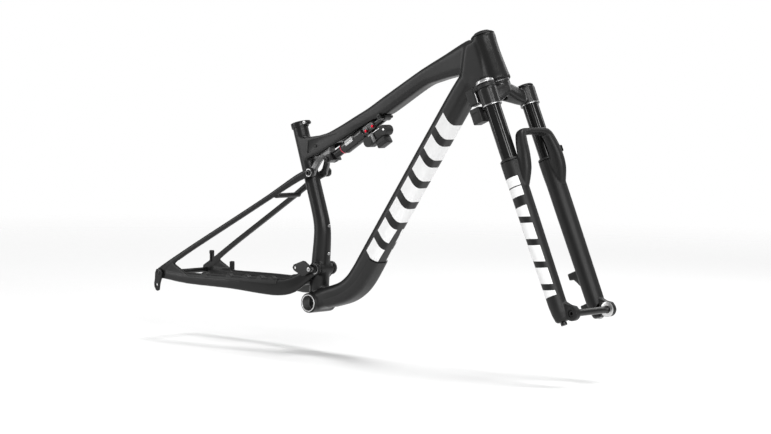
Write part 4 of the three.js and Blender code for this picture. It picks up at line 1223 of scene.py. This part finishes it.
TRIM = [(BOX_X + step, BOX_Y - 9.6, BOX_Z + 9.6, 0.9, 0.9) for step in (-30, 0, 30)]
rim = limb("rim", TRIM, 0.7, 3, SHOCK)
present(rim, "shock_box_trim", "shock", "silver_alloy")


def battery(name, centre, size, place, groove):
    """A clip-in battery: a rounded block with a shallow groove where the finger pulls."""
    made = block(name, centre, size, 2.5, place)
    cut_at = (centre[0], centre[1] - size[1] / 2, centre[2] + groove)
    return carve(made, block("groove", cut_at, (size[0] * 0.6, 2, 2), 0.6, place))


pack = battery("battery", (BOX_X + 8, BOX_Y, BOX_Z - 19.5), (30, 23, 18), SHOCK, groove=-2)
present(pack, "shock_power_pack", "shock", "plastic", "shock_battery")
latch = block("latch", (BOX_X - 5, BOX_Y - 14.2, BOX_Z - 1), (9, 3, 20), 1.2, SHOCK)
present(
    latch,
    "shock_power_latch", "shock_latch", "silver_alloy", "shock_battery_latch", look="grey_alloy",
)
BUTTON = [(0, 18.3), (3, 18.3), (3, 19.8), (2.3, 20.5), (0, 20.3)]
button = turned("button", BUTTON, at(BOX_X + 30, 0, BOX_Z, SHOCK_FACE, SHOCK), 24)
present(button, "shock_pairing_key", "shock_button", "silver_alloy", "shock_pairing_button")

# %% The fork's caps, control box and dials
CAP = [(0, -15.6), (20, -15.6), (20, -13.5), (18, -11), (9, -11), (8, -12), (0, -12)]
cap = turned("cap", CAP, on_leg(1), 48, 0.4)
present(cap, "fork_cap_left", "fork", "black_alloy", "fork_top_cap")
CONTROL = [(0, -15.6), (20.3, -15.6), (20.3, -9), (17, -6), (0, -6)]
control = skin(
    [
        turned("control_base", CONTROL, on_leg(-1), 48),
        block("control_side", (-21, -70, -22), (25, 22, 36), 4, FORK),
        block("control_neck", (-11, -68, -9), (30, 20, 10), 2, FORK),
    ],
    voxel=0.9,
    rounds=3,
)
present(control, "fork_control_box", "fork", "plastic", "fork_control_module")
DIAL_COLLAR = [(12, -5), (19.6, -5), (20.2, -3.6), (19, 1.2), (17.5, 2), (12, 2)]
collar = turned("collar", DIAL_COLLAR, on_leg(-1), 64, 0.3)
present(collar, "fork_control_collar", "fork", "silver_alloy")
trim = block("trim", (-8.2, -76.5, -28), (2.2, 8, 24), 0.8, FORK)
present(trim, "fork_box_trim", "fork", "silver_alloy")
pack = battery("battery", (-21, -72, -64), (26, 26, 34), FORK, groove=6)
present(pack, "fork_power_pack", "fork", "plastic", "fork_battery")
latch = block("latch", (-36.3, -72, -54), (4, 14, 14), 1.2, FORK)
present(latch, "fork_power_latch", "fork_latch", "silver_alloy", "fork_battery_latch")
knob = dial("dial", on_leg(-1), radius=11.8, low=2.6, high=8, teeth=24, stem=(11, 2.4))
present(
    knob, "fork_compression_knob", "fork_dial_compression", "silver_alloy",
    "fork_compression_dial", look="black_alloy",
)

# %% The feet of the fork and the hose clip
FOOT_TURN = Matrix.Rotation(math.pi, 4, "X")
spot = on_leg(-1, FOOT_TURN)
knob = dial("dial", spot, radius=6.8, low=541.5, high=548, teeth=14, stem=(5, 540.6))
present(knob, "fork_rebound_knob", "fork_dial_rebound", "black_alloy", "fork_rebound_dial")
FOOT = [(0, -543), (5, -543), (6, -542), (6, -540.4), (0, -540.4)]
foot = socket(turned("foot", FOOT, on_leg(1), 36), on_leg(1), 2.6, -545, -541.2)
present(foot, "fork_foot_screw", "lowers", "steel", "fork_foot_bolt")
clip = block("clip", (54, 66, -171.3), (9, 9, 14), 2, FORK)
carve(clip, rod("hose_way", 2.6, -185, -160, at(56.5, 66, 0, WORLD, FORK)))
present(clip, "hose_clip", "lowers", "plastic", "hose_guide")


# %% [markdown]
# ## The floor
# A pale floor lies well below the frame and catches one soft shadow, so the eye can tell that
# the frame hangs in the air, as it would in a work stand. A few metres out the floor fades
# into the white room, so no horizon cuts the picture.

# %% The floor
FLOOR_SIZE, FLOOR_DEPTH = 60, 0.115
FADE_FROM, FADE_TO = 1.8, 4.5


def floor_paint():
    bench = Bench("pale_floor_paint")
    broad = bench.noise(0.4, 2)
    tone = bench.mix(broad, shade(0.8), shade(0.84))
    out = bench.node("ShaderNodeVectorMath", {"operation": "LENGTH"}, {0: bench.place}, "Value")
    limits = {"From Min": FADE_FROM, "From Max": FADE_TO, "To Min": 1.0, "To Max": 0.0}
    left = bench.node("ShaderNodeMapRange", None, {"Value": out, **limits})
    fixed = {"Specular IOR Level": 0, "Alpha": left}
    return bench.surface(tone, 0.85 + broad * 0.1, 0, None, 0, fixed)


fresh()
bpy.ops.mesh.primitive_plane_add(size=FLOOR_SIZE, location=(0, 0, -FLOOR_DEPTH))
floor = bpy.context.object
floor.name = "pale_floor"
floor.data.materials.append(floor_paint())

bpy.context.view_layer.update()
